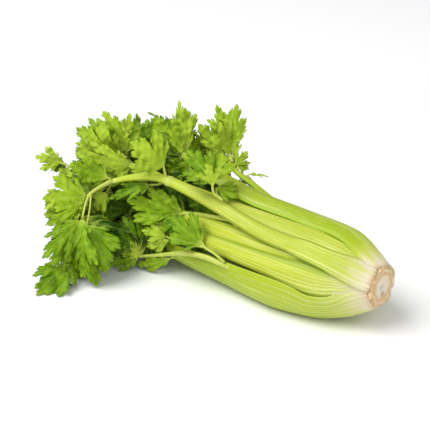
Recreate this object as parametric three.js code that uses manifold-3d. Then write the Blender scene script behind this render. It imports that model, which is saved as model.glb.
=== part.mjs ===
// A head of celery lying on its side: the crown (the cut stem plate), its stalks,
// and the leaf sprays that grow from them.
// Millimetres, +Z up. While it is built, the crown's cut face is at x = 0 with its
// middle at z = AXIS_HEIGHT, the stalks run towards -x, and the ground is at
// z = GROUND_LEVEL. At the end the whole head is moved so that the origin is on the
// ground at the middle of its box.
import * as THREE from 'three';
import { mergeVertices } from 'three/addons/utils/BufferGeometryUtils.js';
import Module from 'manifold-3d';

const wasm = await Module();
wasm.setup();

// ---- driving dimensions ---------------------------------------------------
const CROWN_RADIUS = 19.5; // the cut face
const CROWN_LENGTH = 16; // from the cut face to where the stalks part
const AXIS_HEIGHT = 47; // the head's middle line
const GROUND_LEVEL = 3; // the lowest stalks bulge below this, and are pressed flat on it
const GAP = 0.35; // clearance between neighbouring pieces
const LEAF_THICKNESS = 1;
const LEAF_FOLD = 18; // degrees that each half of a leaflet is raised
const STALK_STATIONS = 12; // cross-sections along a stalk
const STALK_FACETS = 6; // facets across a stalk's outer side
const STEM_SIDES = 6;
const CROWN_FACETS = 32;
const SPACE = 1000; // larger than the head, for the block of air above the ground

// Outline of the crown, as [distance from the cut face, radius].
const CROWN_OUTLINE = [[0, CROWN_RADIUS], [4, 21.5], [9, 25], [CROWN_LENGTH, 29]];

// A stalk's wall thickness, as [distance from the cut face, thickness].
const WALL = [[0, 9], [60, 7.5], [150, 6], [220, 4.8], [320, 3.6]];

// How far a stalk's outer side wraps round, as [width across it, degrees].
const WRAP = [[8, 170], [20, 125], [34, 105], [50, 100]];
const STALK_THICKEST = 1.6; // limit of a stalk's thickness, as a share of its outer side's bend
const STALK_EDGE = 0.3; // thickness at a stalk's edges, as a share of that in its middle
const INNER_WIDTH = 0.96; // width of a stalk's inner side, as a share of its outer side's

// A direction that no stem runs along, from which its cross-sections are turned.
const STEM_UP = new THREE.Vector3(0.3, 0.2, 0.93);

// The way that a leaflet's upper face looks.
const FACING = {
  near: new THREE.Vector3(0.58, -0.69, 0.42),
  far: new THREE.Vector3(-0.3, 0.82, 0.48),
  up: new THREE.Vector3(0, 0, 1),
};

// Half of a leaflet's outline: [share of its length, share of its half width].
// It has a broad side lobe, a deep notch and a middle lobe.
const LEAFLET_OUTLINE = [
  [-0.04, 0.06], [0.2, 0.3], [0.38, 1], [0.6, 0.82], [0.6, 0.38], [0.76, 0.56], [1, 0],
];
const LEAFLET_HUB = 0.45; // where along the midrib its facets meet

// Each stalk's rows: [distance from the cut face, turn about the head's middle line in
// degrees (0 is up, 90 is the near side), radius there, width round its outer side].
const STALKS = {
  stalk_arched: [
    [4, 50, 22, 24], [12, 50, 27.2, 26], [20, 50, 32.2, 25], [32, 50, 38.2, 21],
    [45, 49.5, 43, 18.5], [70, 48, 47.8, 18], [105, 47, 50.5, 17.5], [130, 43.5, 52, 17],
    [145, 40.5, 53, 16.5], [175, 35, 55.5, 16.5], [205, 32, 59, 15], [238, 31, 63, 13],
    [252, 35, 67, 11.5], [264, 41, 71, 10.5], [285, 52, 75, 6.5],
  ],
  stalk_near_low: [
    [4, 125, 22, 37], [10, 127.5, 26.5, 41], [20, 131, 33, 43], [28, 132.5, 38.2, 44],
    [40, 132.5, 44, 47], [55, 131.5, 49.2, 52], [75, 128.5, 53, 60], [100, 126.5, 55.5, 63],
    [130, 126.5, 54, 58], [165, 125, 51.5, 48], [200, 124, 49.5, 37], [235, 123, 47, 25],
    [265, 122, 46, 13],
  ],
  stalk_top: [
    [4, -11, 22, 31], [12, -12, 27.2, 35], [20, -12.5, 32.2, 37.5], [32, -13, 38.2, 38.5],
    [45, -13, 42.3, 39], [70, -12, 45, 36], [100, -9, 46.8, 33], [150, -5, 50, 31],
    [190, -6, 56, 26], [225, -6, 62, 16], [245, -5, 66, 9],
  ],
  stalk_under: [
    [4, 192, 22, 32], [12, 196, 27.2, 40], [20, 200, 32.2, 44], [45, 200, 41.5, 44],
    [100, 200, 46, 32], [160, 200, 46, 25], [220, 202, 45, 17], [270, 206, 44, 11],
    [310, 208, 44, 8],
  ],
  stalk_far: [
    [4, 272, 22, 34], [12, 274, 27.2, 42], [20, 275, 32.2, 46], [45, 276, 41.5, 46],
    [100, 278, 47, 32], [160, 280, 50, 25], [220, 284, 54, 17], [270, 288, 60, 11],
    [310, 290, 64, 8],
  ],
  stalk_inner_upper: [
    [12, 25, 24, 24], [20, 26, 29, 26], [30, 26, 34.3, 29], [45, 26.5, 38.5, 31],
    [70, 27, 41.5, 32], [100, 27, 43, 30], [160, 25, 44.5, 24], [215, 20, 45, 16],
    [260, 14, 43, 11], [300, 8, 46, 8],
  ],
  stalk_inner_near: [
    [12, 84, 22.5, 19], [20, 84, 27.5, 20], [30, 84.5, 34, 23], [42, 86, 40.2, 28],
    [60, 86.5, 44.8, 33], [80, 85.5, 46.8, 32], [110, 84.5, 46.8, 28], [150, 84.5, 44.5, 24],
    [200, 86, 41, 21], [240, 86, 36, 14], [280, 82, 34, 9],
  ],
  stalk_inner_under: [
    [12, 158, 21, 26], [30, 158, 31, 34], [60, 158, 37, 34], [100, 158, 38, 32], [160, 158, 39, 26],
    [220, 158, 38, 17], [270, 152, 38, 11], [305, 150, 38, 8],
  ],
  stalk_inner_far_low: [
    [12, 238, 21, 26], [30, 238, 31, 34], [60, 238, 38, 32], [100, 238, 40, 26], [160, 240, 42, 22],
    [220, 242, 43, 16], [270, 246, 44, 11], [305, 248, 46, 8],
  ],
  stalk_inner_far_high: [
    [12, 312, 21, 26], [30, 312, 32, 34], [60, 312, 38, 32], [100, 314, 41, 24],
    [130, 316, 43.5, 18], [150, 318, 47, 14], [180, 317, 56, 11], [205, 315, 63, 10],
    [228, 314, 73, 7],
  ],
  stalk_third_near: [
    [12, 62, 24, 21], [20, 62, 28.5, 23], [30, 62, 32.5, 25], [60, 62, 38.8, 27],
    [100, 62.5, 41, 26], [150, 62, 40.5, 24], [200, 60, 38, 17], [240, 60, 33, 11],
    [280, 60, 32, 8],
  ],
  stalk_heart_low: [
    [20, 170, 14, 20], [60, 165, 25, 26], [100, 160, 27, 26], [160, 160, 27, 22],
    [220, 165, 26, 14], [275, 180, 26, 9],
  ],
  stalk_heart_high: [
    [20, 320, 14, 18], [60, 320, 24, 22], [100, 320, 25, 20], [160, 322, 27, 18],
    [220, 326, 30, 13], [275, 330, 34, 9],
  ],
};

// Each leaf spray: its stems, as rows of [x, y, z, thickness], and its leaflets, as
// [base, tip, width, facing, degrees turned about the line from base to tip].
const SPRAYS = {
  leaf_drooping: {
    stems: [
      [[-286, -58, 92, 6], [-291, -70, 88, 5.2], [-295, -81, 82, 4.4],
       [-293, -90, 73, 3.6], [-289, -98, 64, 3]],
      [[-294, -80, 83, 2.6], [-287, -89, 73, 2.2], [-282, -99, 59, 2]]],
    leaflets: [
      [[-282, -99, 59], [-252, -96, 27], 44, 'near', 10],
      [[-289, -98, 64], [-256, -111, 6], 36, 'near', -8],
      [[-290, -100, 62], [-305, -141, 34], 42, 'near', 8]]},
  leaf_drooping_inner: {
    stems: [
      [[-295, -96, 66, 2], [-299, -98, 55, 2], [-301, -100, 44, 2]]],
    leaflets: [
      [[-301, -100, 44], [-275, -127, 6], 26, 'near', 20]]},
  leaf_left_pair: {
    stems: [
      [[-295, -81, 82, 2.4], [-299, -82, 80, 2]]],
    leaflets: [
      [[-298, -82, 80], [-333, -111, 80], 42, 'near', -6],
      [[-298, -87, 75], [-320, -113, 53], 26, 'near', 10]]},
  leaf_left_folded: {
    stems: [
      [[-286, -58, 93, 2.6], [-290, -62, 97, 2.2]]],
    leaflets: [
      [[-288, -61, 96], [-326, -79, 109], 30, 'near', 25]]},
  leaf_left_inner: {
    stems: [
      [[-287, -57, 89, 2.4], [-296, -56, 76, 2]]],
    leaflets: [
      [[-296, -56, 76], [-303, -71, 52], 24, 'near', -10],
      [[-300, -55, 79], [-334, -71, 80], 30, 'near', 0]]},
  leaf_over_arch: {
    stems: [
      [[-238, -30, 100, 3], [-238, -33, 111, 2.4], [-239, -33, 117, 2.2]]],
    leaflets: [
      [[-238, -33, 113], [-266, -51, 138], 50, 'near', 0]]},
  leaf_shoulder: {
    stems: [
      [[-164, -31, 97, 3], [-173, -34, 103, 2.6], [-178, -30, 113, 2.4]]],
    leaflets: [
      [[-178, -30, 113], [-205, -33, 135], 36, 'near', 0],
      [[-178, -29, 113], [-184, -8, 133], 32, 'near', 10],
      [[-179, -31, 112], [-207, -45, 114], 26, 'near', -12]]},
  leaf_shoulder_small: {
    stems: [
      [[-172, -23, 92, 2.4], [-178, -23, 97, 2], [-181, -21, 102, 2]]],
    leaflets: [
      [[-181, -21, 102], [-160, -11, 91], 18, 'near', 10],
      [[-180, -21, 103], [-168, 1, 97], 16, 'near', -20]]},
  leaf_top_left: {
    stems: [
      [[-266, -24, 92, 5], [-280, -29, 98, 4], [-295, -30, 108, 3]]],
    leaflets: [
      [[-296, -28, 112], [-327, -22, 146], 40, 'near', -10],
      [[-297, -34, 109], [-341, -51, 133], 36, 'near', 12],
      [[-295, -27, 111], [-308, -5, 134], 22, 'near', -20]]},
  leaf_top_left_low: {
    stems: [
      [[-261, -29, 92, 4], [-271, -35, 100, 3], [-278, -40, 107, 2.4]]],
    leaflets: [
      [[-277, -39, 107], [-328, -68, 114], 32, 'near', 20],
      [[-279, -38, 102], [-305, -53, 90], 28, 'near', 0]]},
  leaf_top_left_rear: {
    stems: [
      [[-289, 16, 91, 3], [-307, 14, 98, 2.6], [-316, 12, 103, 2]]],
    leaflets: [
      [[-316, 12, 103], [-332, 27, 130], 20, 'near', 0],
      [[-309, 14, 100], [-320, 32, 126], 28, 'near', 10],
      [[-313, 12, 102], [-341, -13, 115], 30, 'near', 0]]},
  leaf_top_middle: {
    stems: [
      [[-222, 11, 90, 5], [-241, 19, 100, 4], [-255, 23, 106, 3]],
      [[-251, 21, 104, 2.4], [-258, 18, 106, 2]]],
    leaflets: [
      [[-256, 23, 108], [-284, 42, 151], 20, 'near', 0],
      [[-258, 18, 106], [-297, 16, 140], 32, 'near', 20]]},
  leaf_top_middle_rear: {
    stems: [
      [[-234, 23, 87, 3], [-250, 29, 95, 2.6], [-259, 34, 97, 2]]],
    leaflets: [
      [[-259, 34, 97], [-270, 46, 118], 18, 'near', 0],
      [[-254, 34, 94], [-253, 52, 105], 18, 'near', 10],
      [[-255, 25, 92], [-289, 17, 102], 30, 'near', 0],
      [[-259, 39, 96], [-291, 44, 115], 28, 'near', 0],
      [[-249, 21, 91], [-272, 7, 85], 26, 'near', 0]]},
  leaf_top_right: {
    stems: [
      [[-219, 50, 96, 4], [-230, 57, 104, 3], [-233, 59, 108, 2.4]],
      [[-223, 52, 97, 2], [-229, 49, 100, 2]],
      [[-222, 53, 97, 2], [-224, 60, 102, 2]]],
    leaflets: [
      [[-231, 57, 106], [-256, 70, 142], 25, 'near', 0],
      [[-234, 61, 112], [-245, 88, 139], 18, 'near', 15],
      [[-223, 55, 98], [-228, 82, 129], 14, 'near', 55],
      [[-229, 49, 100], [-260, 43, 129], 26, 'near', 10]]},
  leaf_top_right_rear: {
    stems: [
      [[-210, 45, 91, 3], [-225, 48, 93, 2.4], [-233, 51, 94, 2]]],
    leaflets: [
      [[-234, 52, 94], [-258, 57, 115], 24, 'near', 0],
      [[-236, 57, 94], [-244, 80, 119], 20, 'near', 10],
      [[-237, 56, 89], [-266, 54, 98], 28, 'near', 0]]},
  leaf_top_right_small: {
    stems: [
      [[-208, 47, 91, 2.4], [-213, 52, 92, 2]],
      [[-189, 42, 84, 2], [-197, 48, 87, 1.6]]],
    leaflets: [
      [[-214, 51, 92], [-212, 71, 102], 22, 'near', 10],
      [[-199, 50, 88], [-186, 70, 81], 8, 'near', 60]]},
  leaf_under_arch: {
    stems: [
      [[-146, -31, 76, 5], [-157, -28, 77, 4.8], [-178, -28, 74, 4.4],
       [-206, -28, 69, 4], [-219, -32, 66, 3]],
      [[-206, -28, 69, 3], [-213, -32, 63, 2.4]]],
    leaflets: [
      [[-218, -29, 67], [-273, -55, 74], 38, 'near', 0],
      [[-218, -29, 65], [-260, -54, 59], 34, 'near', 8],
      [[-210, -32, 64], [-231, -51, 51], 22, 'near', -10]]},
  leaf_under_arch_high: {
    stems: [
      [[-241, -27, 94, 3], [-248, -31, 90, 2.4], [-257, -34, 88, 2]]],
    leaflets: [
      [[-257, -34, 88], [-282, -64, 77], 20, 'near', 10]]},
  leaf_on_stalk: {
    stems: [
      [[-147, -49, 43, 3], [-159, -50, 49, 2.6], [-172, -49, 51, 2.4], [-177, -47, 54, 2]]],
    leaflets: [
      [[-176, -48, 52], [-206, -51, 64], 32, 'near', -10]]},
  leaf_low_upper: {
    stems: [
      [[-172, -48, 51, 3], [-190, -50, 49, 2.8], [-206, -50, 47, 2.4], [-223, -48, 46, 2]]],
    leaflets: [
      [[-223, -48, 46], [-248, -58, 49], 20, 'near', 0],
      [[-218, -48, 44], [-239, -60, 34], 18, 'near', 10]]},
  leaf_low: {
    stems: [
      [[-146, -51, 40, 5], [-173, -51, 42, 4.6], [-192, -52, 39, 4],
       [-222, -55, 29, 3.4], [-251, -59, 19, 2.6]]],
    leaflets: [
      [[-251, -59, 19], [-277, -82, 8], 22, 'near', 20],
      [[-250, -57, 19], [-277, -65, 25], 24, 'near', 0]]},
  leaf_low_flat: {
    stems: [
      [[-195, -50, 36, 2.6], [-216, -49, 25, 2.4]]],
    leaflets: [
      [[-217, -48, 24], [-260, -57, 7], 16, 'near', 50]]},
  leaf_inside_low: {
    stems: [
      [[-228, -21, 40, 3], [-248, -30, 34, 2.6], [-266, -38, 32, 2]]],
    leaflets: [
      [[-266, -38, 32], [-288, -44, 48], 26, 'near', 0],
      [[-265, -38, 30], [-279, -66, 18], 32, 'near', 10],
      [[-269, -38, 31], [-297, -58, 32], 26, 'near', 0]]},
  leaf_inside_right: {
    stems: [
      [[-211, -16, 48, 3], [-217, -27, 39, 2.6]]],
    leaflets: [
      [[-219, -26, 38], [-253, -46, 23], 30, 'near', 0],
      [[-217, -25, 42], [-256, -36, 43], 26, 'near', 0]]},
  leaf_inside_high: {
    stems: [
      [[-255, -6, 55, 3], [-273, -18, 50, 2.6], [-287, -30, 50, 2]]],
    leaflets: [
      [[-288, -31, 50], [-313, -59, 57], 26, 'near', 0],
      [[-289, -28, 51], [-315, -33, 69], 26, 'near', 0],
      [[-274, -16, 51], [-304, -17, 70], 26, 'near', 0],
      [[-272, -15, 54], [-277, 3, 76], 26, 'near', 0]]},
  leaf_inside_left: {
    stems: [
      [[-286, -20, 23, 3], [-295, -33, 28, 2.6], [-304, -46, 32, 2]]],
    leaflets: [
      [[-304, -46, 32], [-310, -75, 25], 34, 'near', 0],
      [[-306, -43, 35], [-325, -50, 55], 30, 'near', 0],
      [[-301, -46, 28], [-290, -69, 9], 30, 'near', 10],
      [[-306, -41, 31], [-331, -56, 34], 30, 'near', 0]]},
  leaf_inside_middle: {
    stems: [
      [[-246, -4, 69, 3.4], [-260, -9, 66, 3], [-272, -15, 63, 2.4]]],
    leaflets: [
      [[-272, -15, 63], [-300, -40, 47], 34, 'near', 0],
      [[-272, -16, 62], [-276, -33, 36], 30, 'near', 0],
      [[-271, -14, 64], [-243, -14, 53], 26, 'near', 0]]},
  leaf_top_rear: {
    stems: [
      [[-275, 48, 77, 3.4], [-291, 50, 86, 3], [-304, 50, 96, 2.4]]],
    leaflets: [
      [[-304, 51, 97], [-330, 62, 124], 34, 'near', 0],
      [[-303, 51, 96], [-302, 80, 118], 30, 'near', 0],
      [[-304, 48, 95], [-343, 37, 105], 34, 'near', 0]]},
  leaf_left_rear: {
    stems: [
      [[-308, -9, 75, 3.4], [-325, -16, 72, 3], [-337, -22, 71, 2.4]]],
    leaflets: [
      [[-338, -21, 72], [-373, -21, 94], 36, 'near', 0],
      [[-338, -24, 70], [-374, -42, 68], 34, 'near', 0],
      [[-338, -20, 73], [-360, 0, 100], 32, 'near', 0]]},
  leaf_inside_bottom: {
    stems: [
      [[-293, -60, 18, 3], [-292, -76, 20, 2]]],
    leaflets: [
      [[-293, -78, 22], [-306, -108, 14], 28, 'near', 0],
      [[-305, -76, 32], [-324, -106, 32], 28, 'near', 0]]},
  leaf_far_left: {
    stems: [
      [[-319, -42, 83, 4], [-335, -49, 85, 3], [-351, -54, 89, 2.4], [-361, -58, 92, 2]]],
    leaflets: [
      [[-361, -57, 92], [-386, -70, 96], 26, 'near', 0],
      [[-351, -54, 89], [-353, -70, 76], 18, 'near', 10],
      [[-335, -49, 85], [-342, -69, 70], 26, 'near', 0]]},
  leaf_resting: {
    stems: [
      [[-291, -79, 37, 3], [-290, -103, 29, 2.6], [-288, -123, 22, 2.2]]],
    leaflets: [
      [[-288, -123, 22], [-290, -160, 6], 36, 'near', 20],
      [[-287, -122, 21], [-277, -133, 4], 18, 'near', 0]]},
  leaf_left_dark: {
    stems: [
      [[-308, -56, 46, 3], [-311, -67, 51, 3], [-319, -81, 56, 2.4]]],
    leaflets: [
      [[-317, -83, 55], [-334, -106, 47], 26, 'near', 0],
      [[-319, -81, 58], [-336, -93, 61], 20, 'near', 0]]},
  leaf_far_side_1: {
    stems: [
      [[-306, 60, 68, 5], [-318, 62, 70, 4], [-330, 66, 71, 3]]],
    leaflets: [
      [[-328, 66, 70], [-374, 78, 88], 44, 'far', 0],
      [[-322, 66, 63], [-346, 103, 33], 38, 'far', 0],
      [[-322, 62, 80], [-346, 62, 115], 38, 'far', 0]]},
  leaf_far_side_2: {
    stems: [
      [[-303, 43, 30, 4], [-316, 46, 28, 3]]],
    leaflets: [
      [[-315, 46, 27], [-364, 63, 29], 40, 'far', 0],
      [[-309, 51, 30], [-330, 91, 24], 36, 'far', 0],
      [[-316, 47, 24], [-352, 60, 7], 34, 'far', 0]]},
  leaf_far_side_3: {
    stems: [
      [[-308, 20, 9, 4], [-320, 19, 10, 3]]],
    leaflets: [
      [[-320, 18, 11], [-372, 18, 9], 42, 'up', 0],
      [[-315, 27, 10], [-350, 59, 10], 34, 'up', 0]]},
  leaf_far_side_4: {
    stems: [
      [[-303, -19, 14, 4], [-316, -21, 13, 3]]],
    leaflets: [
      [[-316, -19, 14], [-368, -26, 14], 38, 'up', 0],
      [[-311, -25, 15], [-338, -52, 17], 34, 'near', -20],
      [[-316, -15, 12], [-358, -5, 11], 34, 'up', 0]]},
  leaf_far_side_5: {
    stems: [
      [[-273, 17, 76, 4], [-286, 18, 85, 3]]],
    leaflets: [
      [[-286, 21, 86], [-318, 50, 107], 40, 'far', 0],
      [[-288, 17, 90], [-344, 19, 106], 40, 'far', 0],
      [[-284, 25, 83], [-300, 73, 89], 34, 'far', 0]]},
  leaf_far_side_6: {
    stems: [
      [[-273, 5, 21, 4], [-292, 4, 23, 3]]],
    leaflets: [
      [[-292, 4, 23], [-346, -3, 27], 40, 'up', 0],
      [[-290, -4, 25], [-334, -20, 50], 36, 'near', 0],
      [[-292, 12, 26], [-340, 26, 32], 36, 'far', 0]]},
  leaf_far_side_7: {
    stems: [
      [[-222, 46, 98, 3], [-236, 52, 94, 2.6], [-246, 58, 89, 2.2]]],
    leaflets: [
      [[-246, 58, 89], [-292, 73, 96], 38, 'far', 0],
      [[-238, 61, 85], [-252, 102, 69], 32, 'far', 0]]},
  leaf_far_side_8: {
    stems: [
      [[-262, 55, 64, 4], [-272, 65, 61, 3]]],
    leaflets: [
      [[-272, 65, 61], [-304, 97, 57], 38, 'far', 0],
      [[-270, 63, 56], [-282, 90, 28], 34, 'far', 0],
      [[-274, 63, 65], [-322, 76, 78], 34, 'far', 0]]},
  leaf_far_side_9: {
    stems: [
      [[-262, 41, 29, 3.4], [-274, 49, 23, 2.6]]],
    leaflets: [
      [[-272, 49, 25], [-312, 70, 22], 36, 'far', 0],
      [[-270, 45, 21], [-290, 57, 3], 30, 'up', 0]]},
  leaf_far_side_10: {
    stems: [
      [[-330, 71, 74, 3], [-342, 67, 66, 2.4]]],
    leaflets: [
      [[-342, 65, 66], [-382, 76, 55], 36, 'far', 0]]},
};

// ---- curves ---------------------------------------------------------------

// A point given by its distance from the cut face, its turn and its radius.
function onHead(distance, turn, radius) {
  const angle = THREE.MathUtils.degToRad(turn);
  return new THREE.Vector3(-distance, -radius * Math.sin(angle), AXIS_HEIGHT + radius * Math.cos(angle));
}

// The value at x of a line drawn through [x, value] pairs.
function interpolate(pairs, x) {
  const last = pairs.length - 1;
  if (x <= pairs[0][0]) return pairs[0][1];
  for (let i = 0; i < last; i++) {
    const [x0, y0] = pairs[i];
    const [x1, y1] = pairs[i + 1];
    if (x <= x1) return y0 + ((y1 - y0) * (x - x0)) / (x1 - x0);
  }
  return pairs[last][1];
}

// Smooth rows through the given ones, evenly spaced along the path of their points.
function smoothRows(rows, pointOf, count) {
  const along = [0];
  for (let i = 1; i < rows.length; i++) {
    along.push(along[i - 1] + pointOf(rows[i]).distanceTo(pointOf(rows[i - 1])));
  }
  const last = rows.length - 1;
  const slope = (i, k) => {
    const a = Math.max(i - 1, 0);
    const b = Math.min(i + 1, last);
    return (rows[b][k] - rows[a][k]) / (along[b] - along[a]);
  };
  const result = [];
  for (let n = 0; n < count; n++) {
    const here = (along[last] * n) / (count - 1);
    let i = 0;
    while (i < last - 1 && along[i + 1] < here) i++;
    const span = along[i + 1] - along[i];
    const t = (here - along[i]) / span;
    const keepStart = 2 * t ** 3 - 3 * t ** 2 + 1;
    const bendStart = (t ** 3 - 2 * t ** 2 + t) * span;
    const bendEnd = (t ** 3 - t ** 2) * span;
    result.push(rows[i].map((value, k) => keepStart * value + bendStart * slope(i, k)
      + (1 - keepStart) * rows[i + 1][k] + bendEnd * slope(i + 1, k)));
  }
  return result;
}

// At each point of a path: its direction, the outward direction across it, and the
// sideways one.
function framesAlong(points, outwardOf) {
  return points.map((point, i) => {
    const before = points[Math.max(i - 1, 0)];
    const after = points[Math.min(i + 1, points.length - 1)];
    const along = after.clone().sub(before).normalize();
    const outward = outwardOf(i);
    outward.addScaledVector(along, -outward.dot(along)).normalize();
    const side = new THREE.Vector3().crossVectors(outward, along);
    return { point, along, outward, side };
  });
}

// ---- solids ---------------------------------------------------------------

// A closed mesh, given as points and triangles, as a solid.
function solidFrom(points, triangles) {
  const geometry = new THREE.BufferGeometry();
  const positions = points.flatMap((point) => point.toArray());
  geometry.setAttribute('position', new THREE.Float32BufferAttribute(positions, 3));
  geometry.setIndex(triangles);
  return solidOf(geometry);
}

function solidOf(geometry) {
  const bare = geometry.clone();
  bare.deleteAttribute('normal');
  bare.deleteAttribute('uv');
  const merged = mergeVertices(bare, 1e-4);
  return new wasm.Manifold(new wasm.Mesh({
    numProp: 3,
    vertProperties: Float32Array.from(merged.getAttribute('position').array),
    triVerts: Uint32Array.from(merged.getIndex().array),
  }));
}

function unionOf(solids) {
  return solids.reduce((whole, solid) => whole.add(solid));
}

// A solid skinned over a row of like cross-sections, with flat ends.
function skin(sections) {
  const around = sections[0].length;
  const triangles = [];
  for (let i = 0; i + 1 < sections.length; i++) {
    for (let j = 0; j < around; j++) {
      const a = i * around + j;
      const b = i * around + ((j + 1) % around);
      triangles.push(a, b, b + around, a, b + around, a + around);
    }
  }
  const far = (sections.length - 1) * around;
  for (const [a, b, c] of endTriangles(around)) {
    triangles.push(a, c, b, far + a, far + b, far + c);
  }
  return solidFrom(sections.flat(), triangles);
}

// Triangles across an end that is paired up from one side to the other, as a
// crescent's or a ring's points are: first with last, second with second last.
function endTriangles(count) {
  const triangles = [];
  for (let i = 0; i + 1 < count / 2; i++) {
    const next = i + 1;
    const pair = count - 1 - i;
    const nextPair = count - 2 - i;
    triangles.push([i, next, pair]);
    if (next !== nextPair) triangles.push([next, nextPair, pair]);
  }
  return triangles;
}

// A flat outline moved outwards by a distance, corner by corner.
function offsetOutline(outline, distance) {
  const count = outline.length;
  const edgeNormal = (i) => {
    const [x0, y0] = outline[i];
    const [x1, y1] = outline[(i + 1) % count];
    const length = Math.hypot(x1 - x0, y1 - y0);
    return [(y1 - y0) / length, -(x1 - x0) / length];
  };
  return outline.map(([x, y], i) => {
    const [ax, ay] = edgeNormal((i + count - 1) % count);
    const [bx, by] = edgeNormal(i);
    const spread = Math.max(1 + ax * bx + ay * by, 0.5);
    return [x + (distance * (ax + bx)) / spread, y + (distance * (ay + by)) / spread];
  });
}

// The cross-section of a stalk: a crescent, thick in the middle and thin at its edges,
// as [sideways, outward] from the middle of its outer side.
function crescent(width, wall) {
  const wrap = THREE.MathUtils.degToRad(interpolate(WRAP, width));
  const bend = width / wrap;
  const thick = Math.min(wall, STALK_THICKEST * bend);
  const outer = [];
  const inner = [];
  for (let i = 0; i <= STALK_FACETS; i++) {
    const share = (2 * i) / STALK_FACETS - 1;
    const angle = (share * wrap) / 2;
    const across = bend * Math.sin(angle);
    const outward = bend * (Math.cos(angle) - 1);
    outer.push([across, outward]);
    const depth = thick * (STALK_EDGE + (1 - STALK_EDGE) * (1 - share ** 2));
    inner.push([across * INNER_WIDTH, outward - depth]);
  }
  return [...inner, ...outer.reverse()];
}

// A stalk, swept along its rows. grown makes it larger all round.
function stalkSolid(rows, grown) {
  const pointOf = ([distance, turn, radius]) => onHead(distance, turn, radius);
  const smooth = smoothRows(rows, pointOf, STALK_STATIONS);
  const points = smooth.map(pointOf);
  const outwardOf = (i) => onHead(0, smooth[i][1], 1).sub(onHead(0, 0, 0));
  const frames = framesAlong(points, outwardOf);
  const sections = frames.map(({ point, along, outward, side }, i) => {
    const [distance, , , width] = smooth[i];
    const outline = offsetOutline(crescent(width, interpolate(WALL, distance)), grown);
    const end = endShift(i, frames.length, grown);
    return outline.map(([across, out]) => point.clone().addScaledVector(side, across)
      .addScaledVector(outward, out).addScaledVector(along, end));
  });
  return skin(sections);
}

// How far the cross-section at a path's end moves along it when the piece is grown.
function endShift(i, count, grown) {
  if (i === 0) return -grown;
  if (i === count - 1) return grown;
  return 0;
}

// A stem, round in section, swept along rows of [x, y, z, thickness].
function stemSolid(rows, grown) {
  const count = rows.length > 2 ? rows.length + 1 : 2;
  const pointOf = ([x, y, z]) => new THREE.Vector3(x, y, z);
  const smooth = smoothRows(rows, pointOf, count);
  const points = smooth.map(pointOf);
  const frames = framesAlong(points, () => STEM_UP.clone());
  const sections = frames.map(({ point, along, outward, side }, i) => {
    const radius = smooth[i][3] / 2 + grown;
    const end = endShift(i, frames.length, grown);
    const ring = [];
    for (let j = 0; j < STEM_SIDES; j++) {
      const angle = (2 * Math.PI * (j + 0.5)) / STEM_SIDES;
      ring.push(point.clone().addScaledVector(side, radius * Math.cos(angle))
        .addScaledVector(outward, radius * Math.sin(angle)).addScaledVector(along, end));
    }
    return ring;
  });
  return skin(sections);
}

// A leaflet: a thin lobed plate, folded up a little on both sides of its midrib.
function leafletSolid([base, tip, width, facing, turned], grown) {
  const start = new THREE.Vector3(...base);
  const along = new THREE.Vector3(...tip).sub(start);
  const length = along.length();
  along.normalize();
  const face = FACING[facing].clone();
  face.addScaledVector(along, -face.dot(along)).normalize();
  face.applyAxisAngle(along, THREE.MathUtils.degToRad(turned));
  const side = new THREE.Vector3().crossVectors(face, along);
  const half = LEAFLET_OUTLINE.map(([x, y]) => [x * length, (y * width) / 2]);
  const mirrored = half.slice(0, -1).reverse().map(([x, y]) => [x, -y]);
  const outline = offsetOutline([...half, ...mirrored].reverse(), grown);
  const fold = THREE.MathUtils.degToRad(LEAF_FOLD);
  const place = ([x, y], height) => start.clone().addScaledVector(along, x)
    .addScaledVector(side, y * Math.cos(fold))
    .addScaledVector(face, Math.abs(y) * Math.sin(fold) + height);
  const count = outline.length;
  const top = LEAF_THICKNESS / 2 + grown;
  const hub = [LEAFLET_HUB * length, 0];
  const points = [...outline.map((p) => place(p, top)), ...outline.map((p) => place(p, -top))];
  points.push(place(hub, top), place(hub, -top));
  const triangles = [];
  for (let i = 0; i < count; i++) {
    const next = (i + 1) % count;
    triangles.push(i, next, 2 * count);
    triangles.push(count + next, count + i, 2 * count + 1);
    triangles.push(i, count + i, count + next, i, count + next, next);
  }
  return solidFrom(points, triangles);
}

// A leaf spray: its stems and leaflets grown together.
function spraySolid({ stems, leaflets }, grown) {
  const pieces = stems.map((rows) => stemSolid(rows, grown));
  pieces.push(...leaflets.map((leaflet) => leafletSolid(leaflet, grown)));
  return unionOf(pieces);
}

// The crown: the round cut face and the short stem plate behind it.
function crownSolid(grown) {
  const profile = CROWN_OUTLINE.map(([distance, radius]) => new THREE.Vector2(radius + grown, distance));
  profile[0].y -= grown;
  profile[profile.length - 1].y += grown;
  profile.unshift(new THREE.Vector2(0, profile[0].y));
  profile.push(new THREE.Vector2(0, profile[profile.length - 1].y));
  const geometry = new THREE.LatheGeometry(profile, CROWN_FACETS);
  geometry.rotateZ(Math.PI / 2);
  geometry.translate(0, 0, AXIS_HEIGHT);
  return solidOf(geometry);
}

// A block that holds all the space above the ground.
function aboveGround() {
  const block = new THREE.BoxGeometry(SPACE, SPACE, SPACE);
  block.translate(0, 0, GROUND_LEVEL + SPACE / 2);
  return solidOf(block);
}

// ---- materials ------------------------------------------------------------

function material(color, roughness) {
  return new THREE.MeshStandardMaterial({ color, roughness, metalness: 0 });
}

function stalkMaterial(name) {
  const outer = ['stalk_near_low', 'stalk_top', 'stalk_far', 'stalk_under'];
  return material(outer.includes(name) ? 0xb4cf3c : 0xd2dd70, 0.45);
}

// ---- the head -------------------------------------------------------------

// Each piece is cut back from the ones already placed, so that none of them touch.
const placed = [];
const air = aboveGround();

function largestBody(solid) {
  const bodies = solid.decompose();
  return bodies.reduce((best, body) => (body.volume() > best.volume() ? body : best));
}

function boxesMeet(a, b) {
  return [0, 1, 2].every((k) => a.min[k] <= b.max[k] && b.min[k] <= a.max[k]);
}

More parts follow.
